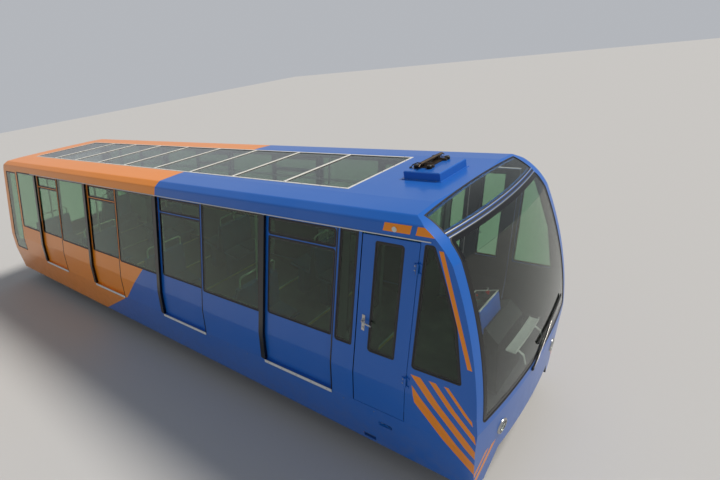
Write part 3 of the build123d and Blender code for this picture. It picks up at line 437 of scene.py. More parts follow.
def studded_floor():
    """Rubber sheet with raised round studs, dark grey, scuffed paler where people walk."""
    material, tree, shader = new_material("studded_rubber_floor", Roughness=0.55)
    coords = add_node(tree, COORDS, out="Object")
    cell = {"Vector": coords, "Scale": 1000 / STUD_PITCH_MM, "Randomness": 0.0}
    away = add_node(tree, "ShaderNodeTexVoronoi", cell, out="Distance")
    stud = add_node(tree, RANGE, (away, 0.30, 0.36, 1.0, 0.0))
    scuffed = {0: patches(tree, 200, 0.4, 0.7, detail=4.0), 6: srgb("#3A3D40"), 7: srgb("#55575A")}
    raised = {"Height": stud, "Distance": STUD_HEIGHT_MM / 1000, "Strength": 0.8}
    bump = add_node(tree, "ShaderNodeBump", raised)
    wire(tree, shader, Base_Color=add_node(tree, MIX, scuffed, out=2, data_type="RGBA"), Normal=bump)
    return material


FLOOR_RUBBER = studded_floor()
print("studs every", STUD_PITCH_MM, "mm")

# %% [markdown]
# ## Finishes on the CAD nodes
#
# Each CAD node keeps its mesh and gets the finish of the real panel. A short table matches the start of the
# node's name to a finish, so one row covers all the wheelsets. What the table doesn't name is painted.

# %% Give every CAD node its finish
FINISHES = (
    (SIDE_GLASS, ("side_glass", "door_glass", "cab_glass", "corner_glass")),
    (SCREEN_GLASS, ("header_glass", "windscreen")),
    (ROOF_GLASS, ("roof_glass",)),
    (ALUMINIUM, ("roof_bars",)),
    (SCREEN_FRAME, ("cab_screen",)),
    (WHEEL_STEEL, ("wheelset",)),
    (CHASSIS_PAINT, ("bogie", "chassis_frame")),
    (CAST_IRON, ("rope_hitch", "rail_brakes")),
    (FLOOR_RUBBER, ("floor_deck",)),
    (SEAT_SHELL, ("benches",)),
    (WHITE_ENAMEL, ("handrails",)),
    (DARK_ABS, ("cab_desk", "wipers")),
    (CHROME, ("end_lamps",)),
    (COLLECTOR_METAL, ("contact_bow",)),
)


def finish_of(name):
    """The finish in the table with a word that starts the node's name, or else the coach paint."""
    found = [material for material, starts in FINISHES if name.startswith(starts)]
    return found[0] if found else LIVERY


for name, piece in nodes.items():
    piece.data.materials.clear()
    piece.data.materials.append(finish_of(name))
print("coach paint on:", sorted(name for name in nodes if finish_of(name) is LIVERY))


# %% [markdown]
# ## Tools that shape the small parts
#
# Seals, strips, pipes and rails are all one section drawn along a line, as an extruder or a tube bender
# makes them. So one function sweeps a section along a path, and mitres it at each corner. Round parts such
# as knobs and caps are turned on a lathe. Pieces that lie on a bowed panel find their height by a ray that
# is shot at the CAD panel below them. Places are in metres, as in the CAD model, but sections and turned
# profiles are in millimetres, as a maker would draw them.

# %% Finish a piece
SOFT_ANGLE = math.radians(35)
MERGE = 0.00005


def finish_piece(bm, name, materials, body="carbody"):
    """Turns built geometry into a named piece on its body, with faces outward and soft shading."""
    bmesh.ops.remove_doubles(bm, verts=bm.verts, dist=MERGE)
    bmesh.ops.recalc_face_normals(bm, faces=bm.faces)
    mesh = bpy.data.meshes.new(name)
    bm.to_mesh(mesh)
    bm.free()
    for material in materials:
        mesh.materials.append(material)
    mesh.shade_smooth()
    mesh.set_sharp_from_angle(angle=SOFT_ANGLE)
    piece = place(name, mesh)
    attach(piece, body)


print("faces softer than", round(math.degrees(SOFT_ANGLE)), "degrees are shaded round")

# %% Sweep a section along a path
UP = [(0, 0, 1)]
SHARPEST = 0.35


def sweep(bm, path, section, ups, closed=False, index=0):
    """Draws a section of (aside, up) in mm along a path in metres; ups has one up, or one for each point."""
    path = [Vector(p) for p in path]
    section = [(a / 1000, b / 1000) for a, b in section]
    count = len(path)
    stretches = count if closed else count - 1
    ways = [(path[(i + 1) % count] - path[i]).normalized() for i in range(stretches)]
    rings = []
    for i, point in enumerate(path):
        into = ways[i - 1] if i or closed else ways[0]
        out = ways[i] if i < stretches else ways[-1]
        along = (into + out).normalized()
        up = Vector(ups[i] if len(ups) > 1 else ups[0])
        up = (up - along * up.dot(along)).normalized()
        aside = along.cross(up)
        mitre = 1 / max(SHARPEST, along.dot(out))
        rings.append([bm.verts.new(point + aside * a * mitre + up * b) for a, b in section])
    for i in range(stretches):
        near, far = rings[i], rings[(i + 1) % count]
        for j in range(len(section)):
            k = (j + 1) % len(section)
            bm.faces.new((near[j], near[k], far[k], far[j])).material_index = index
    if not closed:
        for ring in (rings[0], rings[-1]):
            bm.faces.new(ring).material_index = index


def ring_section(radius, sides=12):
    """A round bar or tube as a sweep section, in mm."""
    angles = [2 * math.pi * i / sides for i in range(sides)]
    return [(radius * math.cos(a), radius * math.sin(a)) for a in angles]


def block_section(width, height, edge):
    """A flat bar with its two outer edges broken, in mm: it sits on up = 0."""
    w, h, e = width / 2, height, edge
    return [(-w, 0), (w, 0), (w, h - e), (w - e, h), (-w + e, h), (-w, h - e)]


def spaced(first, last, steps):
    """Evenly spaced numbers from the first to the last, in that many steps."""
    return [first + (last - first) * i / steps for i in range(steps + 1)]


def rectangle(low, high, z, inset=0.0):
    """The four corners of a level rectangle between two corners, drawn in by an inset."""
    x0, y0, x1, y1 = low[0] + inset, low[1] + inset, high[0] - inset, high[1] - inset
    return [(x0, y0, z), (x1, y0, z), (x1, y1, z), (x0, y1, z)]


print("a round bar has", len(ring_section(1000)), "sides")


# %% Turn a profile, or cut a block
def lathe(bm, profile, centre, axis, steps=20, index=0):
    """Turns a profile of (radius, height) in mm round an axis. Points on the axis close it."""
    axis = Vector(axis).normalized()
    side = axis.orthogonal().normalized()
    other = axis.cross(side)
    turn = [2 * math.pi * i / steps for i in range(steps)]
    rings = []
    for radius, height in profile:
        foot = Vector(centre) + axis * (height / 1000)
        spokes = [(side * math.cos(t) + other * math.sin(t)) * (radius / 1000) for t in turn]
        rings.append([bm.verts.new(foot + s) for s in spokes] if radius else [bm.verts.new(foot)] * steps)
    for near, far in zip(rings, rings[1:]):
        for i in range(steps):
            j = (i + 1) % steps
            corners = list(dict.fromkeys((near[i], near[j], far[j], far[i])))
            if len(corners) > 2:
                bm.faces.new(corners).material_index = index


def block(bm, centre, size, edge, turn, index=0):
    """A block with broken edges, at a place and turned by a matrix."""
    made = bmesh.ops.create_cube(bm, size=1.0)["verts"]
    bmesh.ops.scale(bm, vec=size, verts=made)
    edges = list(dict.fromkeys(e for v in made for e in v.link_edges))
    beveled = bmesh.ops.bevel(bm, geom=edges, offset=edge, segments=2, profile=0.5, affect="EDGES")
    verts = list(dict.fromkeys(v for f in beveled["faces"] for v in f.verts))
    for face in dict.fromkeys(f for v in verts for f in v.link_faces):
        face.material_index = index
    bmesh.ops.transform(bm, matrix=Matrix.Translation(centre) @ turn.to_4x4(), verts=verts)


def prism(bm, near, far):
    """Closes two outlines of four points into a solid."""
    near, far = ([bm.verts.new(p) for p in outline] for outline in (near, far))
    bm.faces.new(near)
    bm.faces.new(far[::-1])
    for i in range(4):
        j = (i + 1) % 4
        bm.faces.new((near[j], near[i], far[i], far[j]))


print("lathe, block and prism ready")


# %% Find points on the ends and the side walls
def tree_of(*names):
    """A ray target made of CAD nodes at rest, in the car's frame."""
    verts, faces = [], []
    for name in names:
        piece = nodes[name]
        start = len(verts)
        verts += [piece.matrix_world @ v.co for v in piece.data.vertices]
        faces += [tuple(start + i for i in f.vertices) for f in piece.data.polygons]
    return BVHTree.FromPolygons(verts, faces)


END_TREES = {
    1: tree_of("nose_uphill", "windscreen_uphill", "header_glass_uphill", "end_lamps"),
    -1: tree_of("nose_downhill", "windscreen_downhill", "end_lamps"),
}
RAY_FROM_X = 9
PLUMB = Vector((LEAN, 0, 1)).normalized()
LEVEL = Vector((1, 0, -LEAN)).normalized()


def end_point(end, y, z, out=0.0):
    """The point and outward normal of an end's face at (y, z); end is 1 uphill and -1 downhill."""
    point, normal, _, _ = END_TREES[end].ray_cast(Vector((end * RAY_FROM_X, y, z)), Vector((-end, 0, 0)))
    normal = normal if normal.x * end > 0 else -normal
    return point + normal * out, normal


def wall_point(x, z, side, out=0.0):
    """A point on the side wall, or that far outside it; side is -1 right and 1 left."""
    return Vector((x, side * (wall_y(z) + out), z))


print("the nose reaches", round(end_point(1, 0, Z_LEDGE)[0].x, 3), "m at the ledge")

# %% [markdown]
# ## Rubber seals round every pane
#
# Each pane is bonded in, and a slim black rubber lip covers the joint on the outside. The lip must follow
# the real edge of the glass, also where the windscreen is bowed. So the edge is read off the CAD pane: the
# outer faces are chosen by their normals, and the border between them and the rest is the glass edge. A
# small section is then swept round it. Many facets meet at a round corner, so points that lie closer
# together than a gap are left out first.

# %% Read the edges of the panes
OUTER_FACING = 0.6
SAME_POINT = 0.0002


def pane_loops(node, outward):
    """Each outer edge of a CAD node's panes as (points, normals), found by the faces that look outward."""
    bm = bmesh.new()
    bm.from_mesh(node.data)
    bm.transform(node.matrix_world)
    bmesh.ops.remove_doubles(bm, verts=bm.verts, dist=SAME_POINT)
    bmesh.ops.recalc_face_normals(bm, faces=bm.faces)
    # A dict keeps the faces in order, so each run starts the edges at the same point
    facing = [f for f in bm.faces if f.normal.dot(outward(f.calc_center_median())) > OUTER_FACING]
    outer = dict.fromkeys(facing)
    loops = [loop for face in outer for loop in face.loops]
    edge = [loop for loop in loops if sum(f in outer for f in loop.edge.link_faces) == 1]
    links = {loop.vert: loop.link_loop_next.vert for loop in edge}
    normals = {v: sum((f.normal for f in v.link_faces if f in outer), Vector()).normalized() for v in links}
    loops = []
    while links:
        first, vert = next(iter(links.items()))
        points = [first]
        del links[first]
        while vert is not first and vert in links:
            points.append(vert)
            vert = links.pop(vert)
        loops.append(([v.co.copy() for v in points], [normals[v] for v in points]))
    bm.free()
    return loops


def thinned(points, normals, gap):
    """The same loop without points that lie closer together than the gap."""
    kept = [0]
    for i in range(1, len(points)):
        if (points[i] - points[kept[-1]]).length > gap:
            kept.append(i)
    if (points[kept[-1]] - points[0]).length < gap:
        kept.pop()
    return [points[i] for i in kept], [normals[i] for i in kept]


print("the roof has", len(pane_loops(nodes["roof_glass"], lambda point: Vector(UP[0]))), "panes")


# %% The panes and the ways they face
def sideways(point):
    """Outward across the car, to the side that the point is on."""
    return Vector((0, math.copysign(1, point.y), 0))


def endways(point):
    """Outward along the car, to the end that the point is on."""
    return Vector((math.copysign(1, point.x), 0, 0))


def upwards(point):
    """Outward through the roof."""
    return Vector((0, 0, 1))


# The ending of a piece's name, its body, the CAD nodes it goes round, and which way their panes face
PANES = [
    ("side_windows", "carbody", ("side_glass_right", "side_glass_left"), sideways),
    ("corner_windows", "carbody", ("corner_glass_uphill", "corner_glass_downhill"), sideways),
    ("windscreens", "carbody", ("windscreen_uphill", "windscreen_downhill"), endways),
    ("header_glass", "carbody", ("header_glass_uphill",), upwards),
    ("roof_panes", "carbody", ("roof_glass",), upwards),
]
for side_name in SIDES:
    PANES.append((f"cab_door_{side_name}", f"cab_door_{side_name}", (f"cab_glass_{side_name}",), sideways))
    for number, _, _ in door_rows:
        leaf = f"{side_name}_{number}"
        PANES.append((f"door_{leaf}", f"door_{leaf}", (f"door_glass_{leaf}",), sideways))
print(len(PANES), "groups of panes")

# %% Seals drawn round the CAD panes
SEAL = ((13, -1), (12.5, 2), (9, 4), (-1, 5.2), (-6, 4.8), (-7, 3))
SEAL_GAP = 0.004


def drawn_round(name, row, section, gap, material):
    """One piece with the section drawn round every pane of a row of the table; tells how many."""
    _, body, node_names, outward = row
    bm = bmesh.new()
    loops = [loop for node_name in node_names for loop in pane_loops(nodes[node_name], outward)]
    for points, normals in loops:
        points, normals = thinned(points, normals, gap)
        sweep(bm, points, section, normals, closed=True)
    finish_piece(bm, name, [material], body=body)
    return len(loops)


print(sum(drawn_round(f"seals_{row[0]}", row, SEAL, SEAL_GAP, RUBBER) for row in PANES), "panes have a seal")

# %% [markdown]
# ## Strips along the body
#
# A black post cover runs up the downhill edge of each doorway, and a slim one up the other edge. Below each
# doorway lies a ribbed aluminium threshold that stands a little out of the ledge, and it is the brightest
# line on the side. A drip rail over the doors keeps rain off them. All are extrusions, so they are swept.

# %% Post covers and thresholds
POST_MM = 78
THIN_MM = 16
COVER_GAP = 0.001
COVER_Z = (Z_LEDGE + 0.004, Z_CORNICE - 0.004)
RIBBED = ((-20, 0), (20, 0), (20, 10), (14, 13), (7, 10), (0, 13), (-7, 10), (-14, 13), (-20, 10))
THRESHOLD_Z = Z_LEDGE - 0.020
THRESHOLD_OVER = 0.01
SUNK = -0.002


def plumb_path(x, z_low, z_high, side):
    """A plumb line on the side wall, with points at the wall's crease and sill."""
    return [wall_point(lean(x, z), z, side) for z in (z_low, Z_CREASE, Z_SILL, z_high)]


for side_name, side in SIDES.items():
    covers, thresholds = bmesh.new(), bmesh.new()
    for _, down, up in door_rows:
        for edge, way, width in ((down, -1, POST_MM), (up, 1, THIN_MM)):
            line = plumb_path(edge + way * (width / 2000 + COVER_GAP), *COVER_Z, side)
            sweep(covers, line, block_section(width, 4, 1.5), [(0, side, 0)])
        ends = (lean(down, THRESHOLD_Z) - THRESHOLD_OVER, lean(up, THRESHOLD_Z) + THRESHOLD_OVER)
        sweep(thresholds, [wall_point(x, THRESHOLD_Z, side, SUNK) for x in ends], RIBBED, [(0, side, 0)])
    finish_piece(covers, f"door_post_covers_{side_name}", [BLACK_ACRYLIC])
    finish_piece(thresholds, f"door_thresholds_{side_name}", [ALUMINIUM])
print("strips on both sides for", len(door_rows), "doorways each")

# %% Drip rails
DRIP = ((-4, -1), (7, -1), (7, 4), (4, 10), (-1, 10), (-4, 6))
DRIP_Z = Z_CORNICE + 0.006
DRIP_X = (lean(door_rows[-1][1], DRIP_Z) - 0.25, lean(CAB_DOOR_X[1], DRIP_Z) + 0.1)
for side_name, side in SIDES.items():
    rails = bmesh.new()
    line = [wall_point(x, DRIP_Z, side, SUNK) for x in spaced(*DRIP_X, 24)]
    sweep(rails, line, DRIP, [(0, side, 0)])
    finish_piece(rails, f"drip_rail_{side_name}", [ALUMINIUM])
print("drip rails of", round(DRIP_X[1] - DRIP_X[0], 2), "m")

# %% [markdown]
# ## Header channel, printed borders and lamps
#
# Between the uphill windscreen and the glass above it runs a black channel with a bright lip on each edge.
# It follows the bowed nose, so its path comes from rays shot at the CAD shell. The maker of the upright
# panes prints a black border on each, which hides the glue: it is wide on the windscreens and narrow on the
# sides and doors. A thin film inside each seal gives it. The lamps get a turned bezel and a ribbed lens in
# front of the CAD reflector, and a small round marker lamp sits high on each side.

# %% Header channel
HEADER_Y = 1.035
# Height on the nose, width, thickness and finish of the bright lips and of the channel between them
HEADER_LINES = ((2.8660, 7, 5, 0), (2.8835, 23, 3, 1), (2.9010, 7, 5, 0))
header = bmesh.new()
for z, width, height, index in HEADER_LINES:
    points, normals = zip(*(end_point(1, y, z) for y in spaced(-HEADER_Y, HEADER_Y, 28)))
    sweep(header, points, block_section(width, height, 1), normals, index=index)
finish_piece(header, "header_channel", [ALUMINIUM, RUBBER])
print("the header channel is", 2 * HEADER_Y, "m across")

# %% Printed borders
SCREEN_PRINT_MM = 45
SIDE_PRINT_MM = 16
PRINT_FROM = -6
PRINT_UP = (0.3, 0.7)
PRINT_GAP = 0.012


def print_section(width):
    """A film of enamel on the glass, from under the rubber lip inwards."""
    low, high = PRINT_UP
    inner = PRINT_FROM - width
    return ((PRINT_FROM, low), (PRINT_FROM, high), (inner, high), (inner, low))


printed = 0
for row in PANES:
    if row[-1] is not upwards:
        width = SCREEN_PRINT_MM if row[-1] is endways else SIDE_PRINT_MM
        printed += drawn_round(f"border_{row[0]}", row, print_section(width), PRINT_GAP, BLACK_ACRYLIC)
print(printed, "panes have a printed border")

# %% Lamps
LAMP_Y = 0.720
LAMP_Z = 0.840
MARKER_AT = (5.450, 2.930)
BEZEL = ((64, -2), (64, 10), (67, 13), (74, 12), (80, 6), (82, -4))
LENS = ((63, 1), (63, 6), (55, 9.5), (52, 8), (45, 11.5), (42, 9.5), (34, 13), (31, 11), (22, 14), (19, 12),
        (9, 14.5), (0, 14.5))
MARKER = ((0, -2), (26, -2), (26, 5), (21, 8), (19, 7), (12, 12), (0, 14))
bezels, lenses, markers = bmesh.new(), bmesh.new(), bmesh.new()
for end in (1, -1):
    for y in (-LAMP_Y, LAMP_Y):
        point, normal = end_point(end, y, LAMP_Z)
        lathe(bezels, BEZEL, point, normal, 40)
        lathe(lenses, LENS, point, normal, 40)
for side in (-1, 1):
    lathe(markers, MARKER, wall_point(*MARKER_AT, side), (0, side, 0), 28)
finish_piece(bezels, "lamp_bezels", [STEEL])
finish_piece(lenses, "lamp_lenses", [SCREEN_GLASS])
finish_piece(markers, "marker_lamps", [PALE_EDGE])
print("four end lamps and two markers")

# %% [markdown]
# ## Roof glazing caps
#
# Each glazing bar has an extruded white cap that clamps the panes, and a flat frame runs round the opening.
# The caps are pale and straight, and they are the clearest marks on the roof from above. The screws along
# them come later, with the other hardware.

# %% Roof caps and frame
roof_low, roof_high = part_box("roof_bars")
ROOF_Z = roof_high[2]
PANE_COUNT = 9
FRAME_W = 0.026
BAR_W = 0.036
CAP_INSET = 0.012
FRAME_INSET = 0.006
bar_pitch = (roof_high[0] - roof_low[0] - 2 * FRAME_W + BAR_W) / PANE_COUNT
bar_x = [roof_low[0] + FRAME_W - BAR_W / 2 + bar_pitch * (i + 1) for i in range(PANE_COUNT - 1)]
CAP = ((-21, 0), (21, 0), (21, 4), (15, 9), (6, 9.5), (3, 8), (-3, 8), (-6, 9.5), (-15, 9), (-21, 4))
caps, frame_strip = bmesh.new(), bmesh.new()
for x in bar_x:
    sweep(caps, [(x, roof_low[1] + CAP_INSET, ROOF_Z), (x, roof_high[1] - CAP_INSET, ROOF_Z)], CAP, UP)
ring = rectangle(roof_low, roof_high, ROOF_Z, FRAME_INSET)
sweep(frame_strip, ring, block_section(30, 5, 2), UP, closed=True)
finish_piece(caps, "roof_glazing_caps", [WHITE_ENAMEL])
finish_piece(frame_strip, "roof_glazing_frame", [WHITE_ENAMEL])
print(len(bar_x), "glazing caps")

# %% [markdown]
# ## Current collector on the roof
#
# A small folded collector lies on the blue box: it takes lighting current at the stations. Four ribbed
# insulators stand under the CAD bow, a coil spring lies on each side of it, and a worn carbon strip lies on
# the head. A rubber lead runs into the box through a gland. Everything is turned or bent from bar here too,
# and placed from the middle of the bow's foot.

# %% Insulators, springs, carbon strip and horns
bow_low, bow_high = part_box("contact_bow")
box_low, box_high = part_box("roof_box")
BOW_FOOT = Vector(((bow_low[0] + bow_high[0]) / 2, (bow_low[1] + bow_high[1]) / 2, box_high[2]))
HEAD_UP = bow_high[2] - box_high[2]
INSULATOR = ((0, 0), (30, 0), (30, 6), (20, 9), (34, 14), (20, 19), (34, 24), (20, 29), (30, 34), (24, 40),
             (0, 40))
COIL_TURNS = 11
COIL_STEPS = 10
COIL_R = 0.011
COIL_X = (-0.045, 0.105)


def on_box(x, y, z=0.0):
    """A point on the roof box, measured from the bow's foot."""
    return BOW_FOOT + Vector((x, y, z))


def coil_point(y, t):
    """A point on a coil spring that lies along X; t runs from 0 to 1."""
    angle = 2 * math.pi * COIL_TURNS * t
    x = COIL_X[0] + (COIL_X[1] - COIL_X[0]) * t
    return on_box(x, y + COIL_R * math.cos(angle), 0.044 + COIL_R * math.sin(angle))


collector = bmesh.new()
for x in (-0.085, 0.085):
    for y in (-0.20, 0.20):
        lathe(collector, INSULATOR, on_box(x, y), UP[0])
for y in (-0.145, 0.145):
    coil = [coil_point(y, t) for t in spaced(0.0, 1.0, COIL_TURNS * COIL_STEPS)]
    sweep(collector, coil, ring_section(2.2, 6), UP, index=1)
strip = [on_box(-0.012, y, HEAD_UP - 0.010) for y in spaced(-0.235, 0.235, 12)]
sweep(collector, strip, block_section(18, 9, 3), UP, index=2)
for side in (-1, 1):
    horn = [on_box(0.0, side * (0.225 + 0.018 * i), HEAD_UP - 0.016 - 0.0022 * i * i) for i in range(4)]
    sweep(collector, horn, ring_section(7, 10), UP, index=1)
finish_piece(collector, "collector_details", [DARK_ABS, COLLECTOR_METAL, CAST_IRON])
print("collector at", [round(c, 3) for c in BOW_FOOT])

# %% Lead, gland and box flange
LEAD_RUN = ((-0.060, -0.100, 0.030), (-0.100, -0.150, 0.045), (-0.135, -0.190, 0.032),
            (-0.150, -0.215, 0.008))
GLAND = ((0, 0), (17, 0), (17, 7), (13, 9), (13, 15), (7, 18), (0, 18))
lead, flange = bmesh.new(), bmesh.new()
sweep(lead, [on_box(*spot) for spot in LEAD_RUN], ring_section(6, 10), UP)
lathe(lead, GLAND, on_box(-0.150, -0.218), UP[0], 12)
sweep(flange, rectangle(box_low, box_high, ROOF_Z), block_section(40, 6, 2), UP, closed=True)
finish_piece(lead, "collector_lead", [RUBBER])
finish_piece(flange, "roof_box_flange", [LIVERY])
print("the roof box stands in its flange")

# %% [markdown]
# ## Cab doors
#
# Each cab door has a lever handle on a long plate, with a lock below it, on the stile away from the hinges.
# It is bright stainless steel and catches the light. The plate is swept, the lever is bent from bar, and
# the rosette and lock are turned. The handle rides on the door's own body, so it swings with it.

# %% Lever handles and locks
HANDLE_AT = (4.875, 1.920)
PLATE_V = (-0.120, -0.117, 0.057, 0.060)
LOCK_V = -0.085
LEVER_RUN = ((0.0, 0.012), (0.0, 0.030), (0.010, 0.036), (0.060, 0.038), (0.115, 0.035))
ROSETTE = ((0, 0), (17, 0), (17, 12), (10, 15), (10, 34), (0, 34))
LOCK = ((0, 0), (13, 0), (13, 10), (11, 12), (0, 12))


def by_handle(side, u, v, out=0.0):
    """A point on the cab door: u level uphill and v plumb up from the handle, and out from the wall."""
    x, z = HANDLE_AT
    spot = Vector((lean(x, z), 0, z)) + LEVEL * u + PLUMB * v
    return wall_point(spot.x, spot.z, side, out)


for side_name, side in SIDES.items():
    handle = bmesh.new()
    plate = [by_handle(side, 0, v, -0.001) for v in PLATE_V]
    sweep(handle, plate, block_section(38, 6, 2), [(0, side, 0)])
    lathe(handle, ROSETTE, by_handle(side, 0, 0), (0, side, 0))
    sweep(handle, [by_handle(side, u, 0, out) for u, out in LEVER_RUN], ring_section(9), [PLUMB])
    lathe(handle, LOCK, by_handle(side, 0, LOCK_V), (0, side, 0), 18)
    finish_piece(handle, f"cab_door_handle_{side_name}", [STEEL], f"cab_door_{side_name}")
print("handles ride on the cab doors")

# %% [markdown]
# ## Driver's desk
#
# Through the windscreen a bright blue control box shows on the desk, with a pale frame round its black
# panel, and a pale shelf below the glass. The panel gets a screen, two rows of push buttons and a stop
# button, and a master lever with a round knob stands beside the box. All are mouldings and turned parts with
# broken edges. What lies on the box is placed on its sloping top, and turned with it.

# %% Control box
BOX_X = (5.500, 5.790)
BOX_Y = (-0.360, 0.120)
BOX_FOOT = (1.470, 1.500)
BOX_TOP = (1.690, 1.760)
outline = ((BOX_X[0], BOX_FOOT[0]), (BOX_X[1], BOX_FOOT[1]), (BOX_X[1], BOX_TOP[1]), (BOX_X[0], BOX_TOP[0]))
console = bmesh.new()
prism(console, *([(x, y, z) for x, z in outline] for y in BOX_Y))
bmesh.ops.bevel(console, geom=console.edges[:], offset=0.012, segments=3, profile=0.5, affect="EDGES")
finish_piece(console, "control_box", [BLUE_ABS])

top_slope = math.atan2(BOX_TOP[1] - BOX_TOP[0], BOX_X[1] - BOX_X[0])
top_middle = Vector([sum(pair) / 2 for pair in (BOX_X, BOX_Y, BOX_TOP)])
top_turn = Matrix.Rotation(-top_slope, 3, "Y")
top_up = top_turn @ Vector(UP[0])


def on_top(x, y, up):
    """A point on the control box's sloping top, measured from its middle."""
    return top_middle + top_turn @ Vector((x, y, up))


print("the box's top slopes", round(math.degrees(top_slope), 1), "degrees")

# %% Control panel and screen
PANEL_SIZE = (0.270, 0.460, 0.010)
SCREEN_SIZE = (0.130, 0.240, 0.008)
RIM = (0.138, 0.233)
rim = [on_top(*corner) for corner in rectangle([-c for c in RIM], RIM, 0.004)]
# The rim comes first: faces made right after a bevel can be stored in another order on the next run
panel = bmesh.new()
sweep(panel, rim, block_section(14, 12, 3), [top_up], closed=True)
block(panel, on_top(0, 0, 0.003), PANEL_SIZE, 0.003, top_turn, index=1)
block(panel, on_top(0.045, -0.065, 0.010), SCREEN_SIZE, 0.002, top_turn, index=2)
finish_piece(panel, "control_panel", [PALE_EDGE, DARK_ABS, SCREEN_GLASS])
print("panel", PANEL_SIZE[0], "by", PANEL_SIZE[1], "m")

# %% Push buttons
# Moulded ABS caps: red and green, satin
RED_ABS = grained("red_push_button", "#B3231B", "#A51F18", 1.0, 0.03, Roughness=0.35)
GREEN_ABS = grained("green_push_button", "#2E8B45", "#287C3D", 1.0, 0.03, Roughness=0.35)
BUTTON = ((0, 0), (12, 0), (12, 6), (9, 8), (9, 13), (7, 15), (0, 15))
STOP = ((0, 0), (12, 0), (12, 18), (24, 22), (24, 30), (16, 36), (0, 37))
KNOB = ((0, 0), (20, 0), (18, 6), (0, 6))
BUTTON_X = (-0.100, -0.060)
BUTTON_Y = spaced(-0.190, 0.110, 5)
ON_PANEL = 0.008
controls = bmesh.new()
for row, x in enumerate(BUTTON_X):
    for column, y in enumerate(BUTTON_Y):
        lathe(controls, BUTTON, on_top(x, y, ON_PANEL), top_up, 14, index=(column + row) % 3)
lathe(controls, STOP, on_top(0.060, 0.150, ON_PANEL), top_up)
lathe(controls, KNOB, on_top(-0.020, 0.180, ON_PANEL), top_up, index=3)
finish_piece(controls, "control_buttons", [RED_ABS, GREEN_ABS, PALE_EDGE, DARK_ABS])
print(len(BUTTON_X) * len(BUTTON_Y), "push buttons")

# %% Master lever
LEVER_ROOT = Vector((5.640, 0.250, 1.500))
LEVER_BOOT = ((0, 0), (45, 0), (45, 12), (30, 22), (12, 26), (0, 26))
LEVER_BENDS = ((0.0, 0.0, 0.0), (-0.02, 0.0, 0.08), (-0.05, 0.0, 0.15))
BALL_R = 24
inner = [(BALL_R * math.sin(t), BALL_R - BALL_R * math.cos(t)) for t in spaced(0.0, math.pi, 10)[1:-1]]
ball = [(0, 0), *inner, (0, 2 * BALL_R)]
lever = bmesh.new()
lathe(lever, LEVER_BOOT, LEVER_ROOT, (-0.1, 0, 1), index=1)
sweep(lever, [LEVER_ROOT + Vector(bend) for bend in LEVER_BENDS], ring_section(7, 10), [(0, 1, 0)])
lathe(lever, ball, LEVER_ROOT + Vector((-0.052, 0, 0.145)), (-0.3, 0, 1), index=1)
finish_piece(lever, "master_lever", [STEEL, DARK_ABS])
print("lever beside the box")

# %% Windscreen shelf
SHELF_HALF = 0.34
SHELF_Z = 1.38
SHELF_BACK = 0.150
TRAY = ((-52, 0), (52, 0), (52, 30), (46, 30), (46, 8), (-46, 8), (-46, 22), (-52, 22))
BRACKET_Y = (-0.24, 0.24)
BRACKET_Z = 1.32
BRACKET = ((-0.05, 0, -0.10), (-0.06, 0, 0.0), (-0.15, 0, 0.06))
shelf = bmesh.new()
line = [end_point(1, y, SHELF_Z)[0] - Vector((SHELF_BACK, 0, 0)) for y in spaced(-SHELF_HALF, SHELF_HALF, 12)]
sweep(shelf, line, TRAY, UP)
for y in BRACKET_Y:
    foot = end_point(1, y, BRACKET_Z)[0]
    sweep(shelf, [foot + Vector(bend) for bend in BRACKET], block_section(30, 6, 1), [(0.3, 0, 1)])
finish_piece(shelf, "windscreen_shelf", [PALE_EDGE])
print("shelf", 2 * SHELF_HALF, "m across")

# %% [markdown]
# ## Steps, grab rails and seat pads
#
# The floor climbs in level treads, and each riser carries an aluminium nosing with a yellow strip so that
# people see the step. A white grab rail stands over each seat back on two short feet. Flat pads lie in the
# seat shells: thin upholstered boards with rounded edges, so a bevelled block is enough and no cloth
# simulation is needed. All of them stand plumb or level on the slope, so their points are counted in
# those two directions.

# %% Step nosings
FLOOR_TOP = 0.880
TREAD_PITCH = DOOR_PITCH / 2
STEP_X = lean(DOOR_UP_X, FLOOR_TOP)
STEP_LIMITS = (-5.9, 5.3)
NOSING_HALF = 1.04
NOSING = block_section(46, 3, 1)
STRIP = block_section(22, 1.5, 0.5)
# Where the nosing and its strip lie: level uphill from the riser, and how far up
NOSING_AT = (0.024, 0.0)
STRIP_AT = (0.036, 0.003)
# Mineral grit in yellow resin: bright and rough
YELLOW_STRIP = grained("yellow_grip_strip", "#E2B007", "#C79A0C", 1.5, 0.15, Roughness=0.6)
step_xs = [STEP_X - number * TREAD_PITCH for number in range(-1, 10)]
step_xs = [x for x in step_xs if STEP_LIMITS[0] < x < STEP_LIMITS[1]]
nosings = bmesh.new()
for x in step_xs:
    for index, (section, (along, rise)) in enumerate(((NOSING, NOSING_AT), (STRIP, STRIP_AT))):
        z = FLOOR_TOP - along * LEAN + rise
        line = [(x + along, y, z) for y in spaced(-NOSING_HALF, NOSING_HALF, 8)]
        sweep(nosings, line, section, [PLUMB], index=index)
finish_piece(nosings, "step_nosings", [ALUMINIUM, YELLOW_STRIP])
print(len(step_xs), "steps")

# %% Grab rails and seat pads
BENCH_X = [STEP_X - (2 * i + 2) * TREAD_PITCH for i in range(DOOR_COUNT)]
TREAD_LEVEL = TREAD_PITCH / (1 + LEAN * LEAN) / math.cos(SLOPE)
RAIL_Y = (0.420, 1.010)
RAIL_FOOT = 0.926
RAIL_TOP = 1.090
RAIL_BEND = 0.03
PAD_Y = (0.555, 0.895)
PAD_UP = 0.449
PAD_FROM_BACK = 0.295
PAD_SIZE = (0.360, 0.310, 0.030)
